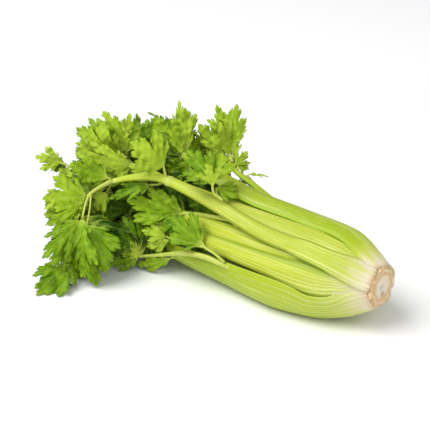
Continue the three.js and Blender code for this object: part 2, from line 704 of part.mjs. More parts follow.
function clearOfPlaced(solid) {
  const box = solid.boundingBox();
  const near = placed.filter((grown) => boxesMeet(box, grown.boundingBox()));
  return largestBody(near.reduce((rest, grown) => rest.subtract(grown), solid.intersect(air)));
}

function meshOf(name, solid, look) {
  const { vertProperties, triVerts } = solid.getMesh();
  const geometry = new THREE.BufferGeometry();
  geometry.setAttribute('position', new THREE.BufferAttribute(Float32Array.from(vertProperties), 3));
  geometry.setIndex(new THREE.BufferAttribute(Uint32Array.from(triVerts), 1));
  geometry.computeVertexNormals();
  const mesh = new THREE.Mesh(geometry, look);
  mesh.name = name;
  return mesh;
}

const head = new THREE.Group();

function place(name, makeSolid, look) {
  head.add(meshOf(name, clearOfPlaced(makeSolid(0)), look));
  placed.push(makeSolid(GAP));
}

place('crown', crownSolid, material(0xe6dcc0, 0.6));
for (const [name, rows] of Object.entries(STALKS)) {
  place(name, (grown) => stalkSolid(rows, grown), stalkMaterial(name));
}
for (const [name, spray] of Object.entries(SPRAYS)) {
  place(name, (grown) => spraySolid(spray, grown), material(0x6fa52c, 0.5));
}

const box = new THREE.Box3().setFromObject(head);
const middle = box.getCenter(new THREE.Vector3());
head.position.set(-middle.x, -middle.y, -GROUND_LEVEL);

export default head;
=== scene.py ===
"""A head of celery lying on its side: its looks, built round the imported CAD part.

The tables are in millimetres in the head's own frame. The crown's cut face is at x = 0,
the stalks run towards -x, the near side is -y, and the head's middle line is at
z = AXIS_HEIGHT. to_room() takes points of that frame to the room's, in metres.
"""
import math

import bpy
import numpy as np
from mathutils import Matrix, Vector
from mathutils.geometry import delaunay_2d_cdt


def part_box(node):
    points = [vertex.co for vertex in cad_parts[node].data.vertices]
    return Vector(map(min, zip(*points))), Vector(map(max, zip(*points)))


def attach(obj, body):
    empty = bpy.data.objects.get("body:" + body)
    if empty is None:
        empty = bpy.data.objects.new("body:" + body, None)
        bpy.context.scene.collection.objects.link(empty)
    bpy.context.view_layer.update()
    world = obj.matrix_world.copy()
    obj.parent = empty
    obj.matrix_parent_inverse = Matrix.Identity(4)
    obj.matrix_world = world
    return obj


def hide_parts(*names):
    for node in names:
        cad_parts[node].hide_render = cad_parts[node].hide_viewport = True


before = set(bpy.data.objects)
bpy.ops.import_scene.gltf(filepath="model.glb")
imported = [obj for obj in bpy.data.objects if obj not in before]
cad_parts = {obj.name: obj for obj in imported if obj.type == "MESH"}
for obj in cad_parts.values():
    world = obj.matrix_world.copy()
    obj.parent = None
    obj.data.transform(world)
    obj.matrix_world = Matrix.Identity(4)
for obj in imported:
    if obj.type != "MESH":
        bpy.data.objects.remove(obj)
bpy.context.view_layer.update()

# ---- driving dimensions, in millimetres unless they say otherwise -------------------
MM = 0.001
AXIS_HEIGHT = 47
CROWN_RADIUS = 19.5
GROUND = 3  # height that the head rests at
SETTLE = 1.5  # how gently what meets the ground bends along it
RIB_PITCH = 4.2  # from one rib of a stalk to the next, on average
RIB_DEPTH = 0.42
RIB_STEPS = 5  # points across each rib
STALK_STEP = 3.0  # between cross-sections of a stalk
LEAF_THICKNESS = 0.45
LEAF_EDGE_THICKNESS = 0.2

# The camera, as it stands to the head: it looks at AIM from this far and this way.
AIM = (-199.91, 0, 59.5)
CAMERA_DISTANCE = 1200
CAMERA_AZIMUTH = 40  # degrees
CAMERA_ELEVATION = 25  # degrees
LENS = 100
SENSOR = 36

# A stalk's wall thickness, as [distance from the cut face, thickness].
WALL = [(0, 9), (60, 7.5), (150, 6), (220, 4.8), (320, 3.6)]

# How far a stalk's outer side wraps round, as [width across it, degrees].
WRAP = [(8, 170), (20, 125), (34, 105), (50, 100)]


# Each stalk's rows: [distance from the cut face, turn about the head's middle line in
# degrees (0 is up, 90 is the near side), radius there, width round its outer side].
STALKS = {
    "stalk_arched": [
        [1, 50, 20, 22], [4, 50, 22, 24], [12, 50, 27.2, 26], [20, 50, 32.2, 25], [32, 50, 38.2, 21],
        [45, 49.5, 43, 18.5], [70, 48, 47.8, 18], [105, 47, 50.5, 17.5], [130, 43.5, 52, 17],
        [145, 40.5, 53, 16.5], [175, 35, 55.5, 16.5], [205, 32, 59, 15], [238, 31, 63, 13],
        [252, 35, 67, 11.5], [264, 41, 71, 10.5], [285, 52, 75, 6.5],
    ],
    "stalk_near_low": [
        [1, 124, 20, 34], [4, 125, 22, 37], [10, 127.5, 26.5, 41], [20, 131, 33, 43], [28, 132.5, 38.2, 44],
        [40, 132.5, 44, 47], [55, 131.5, 49.2, 52], [75, 128.5, 53, 60], [100, 126.5, 55.5, 63],
        [130, 126.5, 54, 58], [165, 125, 51.5, 48], [200, 124, 49.5, 37], [235, 123, 47, 25],
        [265, 122, 46, 13],
    ],
    "stalk_top": [
        [1, -10, 20, 26], [4, -11, 22, 31], [12, -12, 27.2, 35], [20, -12.5, 32.2, 37.5],
        [32, -13, 38.2, 38.5], [45, -13, 42.3, 39], [70, -12, 45, 36], [100, -9, 46.8, 33],
        [150, -5, 50, 31], [190, -6, 56, 26], [225, -6, 62, 16], [245, -5, 66, 9],
    ],
    "stalk_under": [
        [1, 190, 20, 26], [4, 192, 22, 32], [12, 196, 27.2, 40], [20, 200, 32.2, 44], [45, 200, 41.5, 44],
        [100, 200, 46, 32], [160, 200, 46, 25], [220, 202, 45, 17], [270, 206, 44, 11], [310, 208, 44, 8],
    ],
    "stalk_far": [
        [1, 270, 20, 28], [4, 272, 22, 34], [12, 274, 27.2, 42], [20, 275, 32.2, 46], [45, 276, 41.5, 46],
        [100, 278, 47, 32], [160, 280, 50, 25], [220, 284, 54, 17], [270, 288, 60, 11], [310, 290, 64, 8],
    ],
    "stalk_inner_upper": [
        [12, 25, 24, 24], [20, 26, 29, 26], [30, 26, 34.3, 29], [45, 26.5, 38.5, 31], [70, 27, 41.5, 32],
        [100, 27, 43, 30], [160, 25, 44.5, 24], [215, 20, 45, 16], [260, 14, 43, 11], [300, 8, 46, 8],
    ],
    "stalk_inner_near": [
        [12, 84, 22.5, 19], [20, 84, 27.5, 20], [30, 84.5, 34, 23], [42, 86, 40.2, 28],
        [60, 86.5, 44.8, 33], [80, 85.5, 46.8, 32], [110, 84.5, 46.8, 28], [150, 84.5, 44.5, 24],
        [200, 86, 41, 21], [240, 86, 36, 14], [280, 82, 34, 9],
    ],
    "stalk_inner_under": [
        [12, 158, 21, 26], [30, 158, 31, 34], [60, 158, 37, 34], [100, 158, 38, 32], [160, 158, 39, 26],
        [220, 158, 38, 17], [270, 152, 38, 11], [305, 150, 38, 8],
    ],
    "stalk_inner_far_low": [
        [12, 238, 21, 26], [30, 238, 31, 34], [60, 238, 38, 32], [100, 238, 40, 26], [160, 240, 42, 22],
        [220, 242, 43, 16], [270, 246, 44, 11], [305, 248, 46, 8],
    ],
    "stalk_inner_far_high": [
        [12, 312, 21, 26], [30, 312, 32, 34], [60, 312, 38, 32], [100, 314, 41, 24], [130, 316, 43.5, 18],
        [150, 318, 47, 14], [180, 317, 56, 11], [205, 315, 63, 10], [228, 314, 73, 7],
    ],
    "stalk_third_near": [
        [12, 62, 24, 21], [20, 62, 28.5, 23], [30, 62, 32.5, 25], [60, 62, 38.8, 27], [100, 62.5, 41, 26],
        [150, 62, 40.5, 24], [200, 60, 38, 17], [240, 60, 33, 11], [280, 60, 32, 8],
    ],
    "stalk_heart_low": [
        [20, 170, 14, 20], [60, 165, 25, 26], [100, 160, 27, 26], [160, 160, 27, 22], [220, 165, 26, 14],
        [275, 180, 26, 9],
    ],
    "stalk_heart_high": [
        [20, 320, 14, 18], [60, 320, 24, 22], [100, 320, 25, 20], [160, 322, 27, 18], [220, 326, 30, 13],
        [275, 330, 34, 9],
    ],
}

# Swollen joints of a stalk, each by its distance from the cut face.
JOINTS = {"stalk_arched": [233, 284]}


# The way that a leaflet's upper face looks.
FACING = {"near": (0.58, -0.69, 0.42), "far": (-0.3, 0.82, 0.48), "up": (0.0, 0.0, 1.0)}
STEM_UP = (0.3, 0.2, 0.93)  # a direction that no stem runs along

# Each leaf spray: its stems, as rows of [x, y, z, thickness], and its leaflets, as
# [base, tip, width, degrees turned about the line from base to tip, the way it faces].
# A leaflet that doesn't say otherwise isn't turned, and faces the near side.
SPRAYS = {
    "leaf_drooping": ([
        [[-286, -58, 92, 5.8], [-291, -70, 88, 4.2], [-295, -81, 82, 3.4], [-293, -90, 73, 2.8],
         [-289, -98, 64, 2.2]],
        [[-294, -80, 83, 2], [-287, -89, 73, 1.8], [-282, -99, 59, 1.6]],
    ], [
        [[-282, -99, 59], [-252, -102, 17], 46, 6], [[-289, -98, 64], [-254, -113, 1], 38, -8],
        [[-290, -100, 62], [-303, -141, 31], 31, 6], [[-280, -94, 55], [-256, -96, 17], 26, 20],
        [[-290, -112, 47], [-300, -141, 25], 26, 10], [[-280, -103, 41], [-257, -113, 5], 25, 4],
    ]),
    "leaf_drooping_inner": ([
        [[-295, -96, 66, 2], [-299, -98, 55, 2], [-301, -100, 44, 2]],
    ], [
        [[-301, -100, 44], [-275, -127, 6], 26, 20],
    ]),
    "leaf_left_pair": ([
        [[-295, -81, 82, 2.4], [-299, -82, 80, 2]],
    ], [
        [[-298, -82, 80], [-333, -111, 80], 42, -6], [[-298, -87, 75], [-320, -113, 53], 26, 10],
        [[-317, -99, 75], [-335, -111, 78], 22], [[-319, -99, 60], [-333, -109, 59], 18],
    ]),
    "leaf_left_folded": ([
        [[-286, -58, 93, 2.6], [-290, -62, 97, 2.2]],
    ], [
        [[-288, -61, 96], [-326, -79, 109], 30, 25],
    ]),
    "leaf_left_inner": ([
        [[-287, -57, 89, 2.4], [-296, -56, 76, 2]],
    ], [
        [[-296, -56, 76], [-303, -71, 52], 24, -10], [[-300, -55, 79], [-334, -71, 80], 30],
        [[-272, -17, 84], [-297, -26, 89], 24],
    ]),
    "leaf_over_arch": ([
        [[-238, -30, 100, 3], [-238, -33, 111, 2.4], [-239, -33, 117, 2.2]],
    ], [
        [[-238, -33, 113], [-266, -51, 138], 50],
    ]),
    "leaf_shoulder": ([
        [[-164, -31, 97, 3], [-173, -34, 103, 2.6], [-178, -30, 113, 2.4]],
    ], [
        [[-178, -30, 113], [-205, -33, 135], 36], [[-178, -29, 113], [-184, -8, 133], 32, 10],
        [[-179, -31, 112], [-207, -45, 114], 26, -12], [[-176, -31, 108], [-189, -26, 130], 28, -8],
    ]),
    "leaf_shoulder_small": ([
        [[-172, -23, 92, 2.4], [-178, -23, 97, 2], [-181, -21, 102, 2]],
    ], [
        [[-181, -21, 102], [-160, -11, 91], 18, 10], [[-180, -21, 103], [-168, 1, 97], 16, -20],
        [[-173, -16, 95], [-168, -3, 100], 14],
    ]),
    "leaf_top_left": ([
        [[-266, -24, 92, 5], [-280, -29, 98, 4], [-295, -30, 108, 3]],
    ], [
        [[-296, -28, 112], [-327, -22, 146], 40, -10], [[-297, -34, 109], [-342, -51, 133], 50, 12],
        [[-295, -27, 111], [-308, -5, 134], 22, -20], [[-297, -31, 110], [-336, -39, 142], 30],
        [[-314, -42, 117], [-344, -50, 134], 28], [[-301, -28, 117], [-313, -11, 140], 20],
    ]),
    "leaf_top_left_low": ([
        [[-261, -29, 92, 4], [-271, -35, 100, 3], [-278, -40, 107, 2.4]],
    ], [
        [[-277, -39, 107], [-328, -68, 114], 32, 20], [[-279, -38, 102], [-305, -53, 90], 28],
        [[-306, -49, 107], [-334, -57, 122], 26, 10],
    ]),
    "leaf_top_left_rear": ([
        [[-289, 16, 91, 3], [-307, 14, 98, 2.6], [-316, 12, 103, 2]],
    ], [
        [[-316, 12, 103], [-332, 27, 130], 20], [[-309, 14, 100], [-320, 32, 126], 28, 10],
        [[-313, 12, 102], [-341, -13, 115], 30],
    ]),
    "leaf_top_middle": ([
        [[-222, 11, 90, 5], [-241, 19, 100, 4], [-255, 23, 106, 3]],
        [[-251, 21, 104, 2.4], [-258, 18, 106, 2]],
    ], [
        [[-256, 23, 108], [-284, 42, 151], 20], [[-258, 18, 106], [-297, 16, 140], 32, 20],
        [[-256, 23, 104], [-285, 22, 132], 26, 10], [[-262, 29, 118], [-277, 42, 146], 24],
    ]),
    "leaf_top_middle_rear": ([
        [[-234, 23, 87, 3], [-250, 29, 95, 2.6], [-259, 34, 97, 2]],
    ], [
        [[-259, 34, 97], [-270, 46, 118], 18], [[-254, 34, 94], [-253, 52, 105], 18, 10],
        [[-255, 25, 92], [-289, 17, 102], 30], [[-259, 39, 96], [-291, 44, 115], 28],
        [[-249, 21, 91], [-272, 7, 85], 26],
    ]),
    "leaf_top_right": ([
        [[-219, 50, 96, 4], [-230, 57, 104, 3], [-233, 59, 108, 2.4]],
        [[-223, 52, 97, 2], [-229, 49, 100, 2]],
        [[-222, 53, 97, 2], [-224, 60, 102, 2]],
    ], [
        [[-225, 53, 98], [-256, 71, 145], 33], [[-228, 59, 104], [-244, 89, 143], 24, 12],
        [[-224, 57, 104], [-228, 83, 131], 11, 50], [[-221, 54, 97], [-226, 71, 117], 11, 30],
        [[-229, 49, 100], [-260, 43, 130], 26, 10], [[-233, 51, 94], [-255, 50, 114], 22],
        [[-232, 57, 113], [-256, 67, 144], 26], [[-242, 49, 95], [-270, 49, 118], 24],
    ]),
    "leaf_top_right_rear": ([
        [[-210, 45, 91, 3], [-225, 48, 93, 2.4], [-233, 51, 94, 2]],
    ], [
        [[-237, 56, 89], [-266, 54, 98], 28], [[-237, 59, 93], [-261, 68, 118], 20],
        [[-243, 50, 101], [-265, 53, 123], 22],
    ]),
    "leaf_top_right_small": ([
        [[-208, 47, 91, 2.4], [-213, 52, 92, 2]],
        [[-189, 42, 84, 2], [-197, 48, 87, 1.6]],
    ], [
        [[-215, 51, 93], [-214, 68, 104], 24, 10], [[-201, 47, 86], [-185, 70, 81], 9, 60],
        [[-215, 55, 91], [-208, 64, 87], 16],
    ]),
    "leaf_under_arch": ([
        [[-146, -31, 76, 5], [-157, -28, 77, 4.8], [-178, -28, 74, 4.4], [-206, -28, 69, 4],
         [-219, -32, 66, 3]],
        [[-206, -28, 69, 3], [-213, -32, 63, 2.4]],
    ], [
        [[-218, -29, 67], [-273, -55, 74], 38], [[-218, -29, 65], [-260, -54, 59], 34, 8],
        [[-210, -32, 64], [-231, -51, 51], 22, -10], [[-191, -9, 65], [-223, -15, 76], 26],
        [[-201, -12, 65], [-225, -10, 59], 24, -15],
    ]),
    "leaf_under_arch_high": ([
        [[-241, -27, 94, 3], [-248, -31, 90, 2.4], [-257, -34, 88, 2]],
    ], [
        [[-257, -34, 88], [-282, -64, 77], 20, 10],
    ]),
    "leaf_on_stalk": ([
        [[-147, -49, 43, 3], [-159, -50, 49, 2.6], [-172, -49, 51, 2.4], [-177, -47, 54, 2]],
    ], [
        [[-176, -48, 52], [-213, -54, 74], 36, -10],
    ]),
    "leaf_low_upper": ([
        [[-172, -48, 51, 3], [-190, -50, 49, 2.8], [-206, -50, 47, 2.4], [-223, -48, 46, 2]],
    ], [
        [[-223, -48, 46], [-248, -58, 49], 20], [[-218, -48, 44], [-239, -60, 34], 18, 10],
    ]),
    "leaf_low": ([
        [[-138, -45, 36, 3.4], [-148, -49, 39.5, 5], [-168, -51, 42, 5.6], [-192, -52, 39, 5.2],
         [-222, -55, 29, 4], [-251, -59, 19, 2.6]],
    ], [
        [[-251, -59, 19], [-277, -82, 8], 22, 20], [[-250, -57, 19], [-277, -65, 25], 24],
    ]),
    "leaf_low_flat": ([
        [[-195, -50, 36, 2.6], [-216, -49, 25, 2.4]],
    ], [
        [[-217, -48, 24], [-260, -57, 7], 16, 50],
    ]),
    "leaf_inside_low": ([
        [[-228, -21, 40, 3], [-248, -30, 34, 2.6], [-266, -38, 32, 2]],
    ], [
        [[-254, -52, 20], [-284, -48, 54], 34], [[-265, -38, 30], [-279, -66, 18], 32, 10],
        [[-269, -38, 31], [-297, -58, 32], 26],
    ]),
    "leaf_inside_right": ([
        [[-211, -16, 48, 3], [-217, -27, 39, 2.6]],
    ], [
        [[-219, -26, 38], [-253, -46, 23], 30], [[-217, -25, 42], [-256, -36, 43], 26],
        [[-234, -39, 24], [-261, -50, 20], 24], [[-193, -23, 27], [-223, -37, 31], 24],
    ]),
    "leaf_inside_high": ([
        [[-255, -6, 55, 3], [-273, -18, 50, 2.6], [-287, -30, 50, 2]],
    ], [
        [[-288, -31, 50], [-313, -59, 57], 26], [[-289, -28, 51], [-315, -33, 69], 26],
        [[-274, -16, 51], [-304, -17, 70], 26], [[-272, -15, 54], [-277, 3, 76], 26],
        [[-216, 5, 58], [-247, -3, 68], 28], [[-220, 7, 61], [-243, -10, 56], 28],
        [[-203, 14, 68], [-236, 12, 82], 30], [[-262, 3, 57], [-278, 9, 78], 24],
    ]),
    "leaf_inside_left": ([
        [[-286, -20, 23, 3], [-295, -33, 28, 2.6], [-304, -46, 32, 2]],
    ], [
        [[-304, -46, 32], [-310, -75, 25], 34], [[-306, -43, 35], [-325, -50, 55], 30],
        [[-301, -46, 28], [-290, -69, 9], 30, 10], [[-306, -41, 31], [-331, -56, 34], 30],
        [[-293, -28, 70], [-321, -41, 78], 30], [[-305, -49, 67], [-304, -63, 38], 30],
        [[-312, -49, 33], [-335, -52, 51], 30],
    ]),
    "leaf_inside_middle": ([
        [[-246, -4, 69, 3.4], [-260, -9, 66, 3], [-272, -15, 63, 2.4]],
    ], [
        [[-272, -15, 63], [-300, -40, 47], 34], [[-272, -16, 62], [-276, -33, 36], 30],
        [[-271, -14, 64], [-243, -14, 53], 26], [[-279, -25, 71], [-306, -38, 77], 28],
        [[-217, -9, 50], [-247, -21, 52], 28], [[-260, -29, 33], [-284, -36, 46], 30],
        [[-260, -17, 58], [-261, -30, 33], 28], [[-189, 10, 51], [-218, 7, 62], 26],
    ]),
    "leaf_top_rear": ([
        [[-275, 48, 77, 3.4], [-291, 50, 86, 3], [-304, 50, 96, 2.4]],
    ], [
        [[-303, 50, 95], [-330, 56, 117], 32], [[-303, 51, 96], [-302, 80, 118], 30],
        [[-304, 48, 95], [-343, 37, 105], 34], [[-304, 53, 96], [-320, 62, 119], 20],
    ]),
    "leaf_left_rear": ([
        [[-308, -9, 75, 3.4], [-325, -16, 72, 3], [-337, -22, 71, 2.4]],
    ], [
        [[-338, -21, 72], [-373, -21, 94], 36], [[-338, -24, 70], [-374, -42, 68], 34],
        [[-338, -20, 73], [-360, 0, 100], 32],
    ]),
    "leaf_inside_bottom": ([
        [[-293, -60, 18, 3], [-292, -76, 20, 2]],
    ], [
        [[-293, -78, 22], [-306, -108, 14], 28], [[-305, -76, 32], [-324, -106, 32], 28],
    ]),
    "leaf_far_left": ([
        [[-319, -42, 83, 4], [-335, -49, 85, 3], [-351, -54, 89, 2.4], [-361, -58, 92, 2]],
    ], [
        [[-361, -57, 92], [-386, -70, 96], 26], [[-351, -54, 89], [-353, -70, 76], 18, 10],
        [[-335, -49, 85], [-342, -69, 70], 26],
    ]),
    "leaf_resting": ([
        [[-291, -79, 37, 3], [-290, -103, 29, 2.6], [-288, -123, 22, 2.2]],
    ], [
        [[-285, -121, 20], [-292, -162, 0], 38, 14], [[-287, -122, 21], [-277, -133, 4], 18],
        [[-291, -132, 20], [-297, -155, 10], 22, 10], [[-285, -135, 12], [-288, -156, -2], 22],
        [[-290, -137, 15], [-288, -158, -4], 22],
    ]),
    "leaf_left_dark": ([
        [[-308, -56, 46, 3], [-311, -67, 51, 3], [-319, -81, 56, 2.4]],
    ], [
        [[-317, -83, 55], [-334, -106, 47], 26], [[-319, -81, 58], [-336, -93, 61], 20],
        [[-316, -86, 65], [-339, -104, 67], 34],
    ]),
    "leaf_far_side_1": ([
        [[-306, 60, 68, 5], [-318, 62, 70, 4], [-330, 66, 71, 3]],
    ], [
        [[-328, 66, 70], [-374, 78, 88], 44, 0, "far"], [[-322, 66, 63], [-346, 103, 33], 38, 0, "far"],
        [[-322, 62, 80], [-346, 62, 115], 38, 0, "far"],
    ]),
    "leaf_far_side_2": ([
        [[-303, 43, 30, 4], [-316, 46, 28, 3]],
    ], [
        [[-315, 46, 27], [-364, 63, 29], 40, 0, "far"], [[-309, 51, 30], [-330, 91, 24], 36, 0, "far"],
        [[-316, 47, 24], [-352, 60, 7], 34, 0, "far"],
    ]),
    "leaf_far_side_3": ([
        [[-308, 20, 9, 4], [-320, 19, 10, 3]],
    ], [
        [[-320, 18, 11], [-372, 18, 9], 42, 0, "up"], [[-315, 27, 10], [-350, 59, 10], 34, 0, "up"],
    ]),
    "leaf_far_side_4": ([
        [[-303, -19, 14, 4], [-316, -21, 13, 3]],
    ], [
        [[-316, -19, 14], [-368, -26, 14], 38, 0, "up"], [[-311, -25, 15], [-338, -52, 17], 34, -20],
        [[-316, -15, 12], [-358, -5, 11], 34, 0, "up"],
    ]),
    "leaf_far_side_5": ([
        [[-273, 17, 76, 4], [-286, 18, 85, 3]],
    ], [
        [[-286, 21, 86], [-318, 50, 107], 40, 0, "far"], [[-288, 17, 90], [-344, 19, 106], 40, 0, "far"],
        [[-284, 25, 83], [-300, 73, 89], 34, 0, "far"],
    ]),
    "leaf_far_side_6": ([
        [[-273, 5, 21, 4], [-292, 4, 23, 3]],
    ], [
        [[-292, 4, 23], [-346, -3, 27], 40, 0, "up"], [[-290, -4, 25], [-334, -20, 50], 36],
        [[-292, 12, 26], [-340, 26, 32], 36, 0, "far"],
    ]),
    "leaf_far_side_7": ([
        [[-222, 46, 98, 3], [-236, 52, 94, 2.6], [-246, 58, 89, 2.2]],
    ], [
        [[-246, 58, 89], [-292, 73, 96], 38, 0, "far"], [[-238, 61, 85], [-252, 102, 69], 32, 0, "far"],
    ]),
    "leaf_far_side_8": ([
        [[-262, 55, 64, 4], [-272, 65, 61, 3]],
    ], [
        [[-272, 65, 61], [-304, 97, 57], 38, 0, "far"], [[-270, 63, 56], [-282, 90, 28], 34, 0, "far"],
        [[-274, 63, 65], [-322, 76, 78], 34, 0, "far"],
    ]),
    "leaf_far_side_9": ([
        [[-262, 41, 29, 3.4], [-274, 49, 23, 2.6]],
    ], [
        [[-272, 49, 25], [-312, 70, 22], 36, 0, "far"], [[-270, 45, 21], [-290, 57, 3], 30, 0, "up"],
    ]),
    "leaf_far_side_10": ([
        [[-330, 71, 74, 3], [-342, 67, 66, 2.4]],
    ], [
        [[-342, 65, 66], [-382, 76, 55], 36, 0, "far"],
    ]),
}


# ---- small helpers -------------------------------------------------------------------
def colour(code):
    """The linear colour of a #rrggbb code."""
    parts = [int(code[i:i + 2], 16) / 255 for i in (1, 3, 5)]
    return tuple(p / 12.92 if p <= 0.04045 else ((p + 0.055) / 1.055) ** 2.4 for p in parts) + (1.0,)


def smoothstep(low, high, x):
    t = np.clip((x - low) / (high - low), 0, 1)
    return t * t * (3 - 2 * t)


def unit(vectors):
    return vectors / np.linalg.norm(vectors, axis=-1, keepdims=True)


def table_value(pairs, x):
    """The value at x of a line drawn through (x, value) pairs."""
    return np.interp(x, [p[0] for p in pairs], [p[1] for p in pairs])


def on_head(distance, turn, radius):
    """Points given by their distance from the cut face, turn in degrees and radius."""
    angle = np.radians(turn)
    return np.stack([-distance, -radius * np.sin(angle), AXIS_HEIGHT + radius * np.cos(angle)], axis=-1)


def settled(height, lowest):
    """Heights eased up so that nothing sinks below the lowest."""
    return lowest + SETTLE * np.logaddexp(0, (height - lowest) / SETTLE)


def head_origin():
    """Where the head's own frame has its origin in the room, found from the crown."""
    low, high = (np.array(corner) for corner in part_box("crown"))
    middle = (low + high) / 2
    return np.array([high[0], middle[1], middle[2] - AXIS_HEIGHT * MM])


ORIGIN = head_origin()


def to_room(points):
    return ORIGIN + np.asarray(points, float) * MM


def smooth_rows(rows, points, step):
    """Smooth rows through the given ones, about step apart along the path of points."""
    rows = np.array(rows, float)
    along = np.concatenate([[0], np.cumsum(np.linalg.norm(np.diff(points, axis=0), axis=1))])
    slopes = np.empty_like(rows)
    slopes[1:-1] = (rows[2:] - rows[:-2]) / (along[2:] - along[:-2])[:, None]
    slopes[0] = (rows[1] - rows[0]) / (along[1] - along[0])
    slopes[-1] = (rows[-1] - rows[-2]) / (along[-1] - along[-2])
    count = max(int(round(along[-1] / step)) + 1, 3)
    here = np.linspace(0, along[-1], count)
    i = np.clip(np.searchsorted(along, here, side="right") - 1, 0, len(rows) - 2)
    span = (along[i + 1] - along[i])[:, None]
    t = (here - along[i])[:, None] / span
    keep = 2 * t ** 3 - 3 * t ** 2 + 1
    lead = (t ** 3 - 2 * t ** 2 + t) * span
    trail = (t ** 3 - t ** 2) * span
    return keep * rows[i] + lead * slopes[i] + (1 - keep) * rows[i + 1] + trail * slopes[i + 1]


def frames_along(points, outward):
    """At each point of a path, its direction, the outward one across it and the sideways one."""
    along = unit(np.gradient(points, axis=0))
    outward = unit(outward - (outward * along).sum(axis=1)[:, None] * along)
    return along, outward, np.cross(outward, along)


def mesh_piece(name, points, faces, materials, values, indices=None):
    """A smooth mesh object for the CAD node of that name. values are named numbers, one a point."""
    mesh = bpy.data.meshes.new(name)
    mesh.from_pydata(to_room(points).tolist(), [], faces)
    for key, numbers in values.items():
        layer = mesh.attributes.new(key, "FLOAT", "POINT")
        layer.data.foreach_set("value", np.asarray(numbers, np.float32))
    for look in materials:
        mesh.materials.append(look)
    if indices is not None:
        mesh.polygons.foreach_set("material_index", indices)
    mesh.shade_smooth()
    mesh.update()
    piece = bpy.data.objects.new(name + "_looks", mesh)
    bpy.context.scene.collection.objects.link(piece)
    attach(piece, "root")
    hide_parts(name)
    return piece


# ---- materials -----------------------------------------------------------------------
class Looks:
    """A material being built of nodes: each method adds some and gives back what comes out."""

    def __init__(self, name):
        self.material = bpy.data.materials.new(name)
        self.material.use_nodes = True
        self.tree = self.material.node_tree
        self.tree.nodes.clear()

    def node(self, kind, links=(), **settings):
        made = self.tree.nodes.new(kind)
        for key, value in settings.items():
            setattr(made, key, value)
        for socket, value in dict(links).items():
            self.feed(made.inputs[socket], value)
        return made

    def feed(self, socket, value):
        if isinstance(value, bpy.types.NodeSocket):
            self.tree.links.new(value, socket)
        else:
            socket.default_value = value

    def value(self, name):
        """The mesh's own number of that name."""
        return self.node("ShaderNodeAttribute", attribute_name=name).outputs["Fac"]

    def math(self, operation, *values):
        return self.node("ShaderNodeMath", enumerate(values), operation=operation).outputs[0]

    def clamp_map(self, value, low, high, to_low=0.0, to_high=1.0):
        """value mapped smoothly from low..high to to_low..to_high."""
        sockets = {"Value": value, "From Min": low, "From Max": high, "To Min": to_low, "To Max": to_high}
        return self.node("ShaderNodeMapRange", sockets, interpolation_type="SMOOTHSTEP").outputs[0]

    def mix(self, factor, first, second):
        made = self.node("ShaderNodeMix", data_type="RGBA")
        self.feed(made.inputs["Factor"], factor)
        colours = [s for s in made.inputs if s.type == "RGBA"]
        self.feed(colours[0], first)
        self.feed(colours[1], second)
        return [s for s in made.outputs if s.type == "RGBA"][0]

    def tint(self, base, code, factor, *others):
        """base mixed towards a colour by the product of the factors."""
        for other in others:
            factor = self.math("MULTIPLY", factor, other)
        return self.mix(factor, base, colour(code))

    def ramp(self, value, stops):
        made = self.node("ShaderNodeValToRGB", {"Fac": value})
        elements = made.color_ramp.elements
        while len(elements) < len(stops):
            elements.new(0.5)
        for element, (place, code) in zip(elements, stops):
            element.position = place
            element.color = colour(code)
        return made.outputs["Color"]

    def noise(self, scale, detail, roughness, vector):
        sockets = {"Scale": scale, "Detail": detail, "Roughness": roughness, "Vector": vector}
        return self.node("ShaderNodeTexNoise", sockets).outputs["Fac"]

    def wander(self, value, reach):
        """value, which lies about 0.5, made to wander by that much either way of 0."""
        return self.math("MULTIPLY_ADD", value, 2 * reach, -reach)

    def place(self):
        return self.node("ShaderNodeTexCoord").outputs["Object"]

    def bump(self, height, distance, strength):
        sockets = {"Height": height, "Distance": distance, "Strength": strength}
        return self.node("ShaderNodeBump", sockets).outputs["Normal"]

    def skin(self, base, roughness, normal, **others):
        """A surface. others are the names of its other sockets, with _ for each space."""
        sockets = {"Base Color": base, "Roughness": roughness, "Normal": normal}
        sockets.update({key.replace("_", " "): value for key, value in others.items()})
        return self.node("ShaderNodeBsdfPrincipled", sockets).outputs[0]

    def finish(self, shader):
        self.node("ShaderNodeOutputMaterial", {"Surface": shader})
        return self.material


STALK_LENGTH = 320  # mm, the reach of the colour bands along a stalk
STRAND_STRETCH = 0.012  # how slowly strands change along a stalk, in rib widths a mm


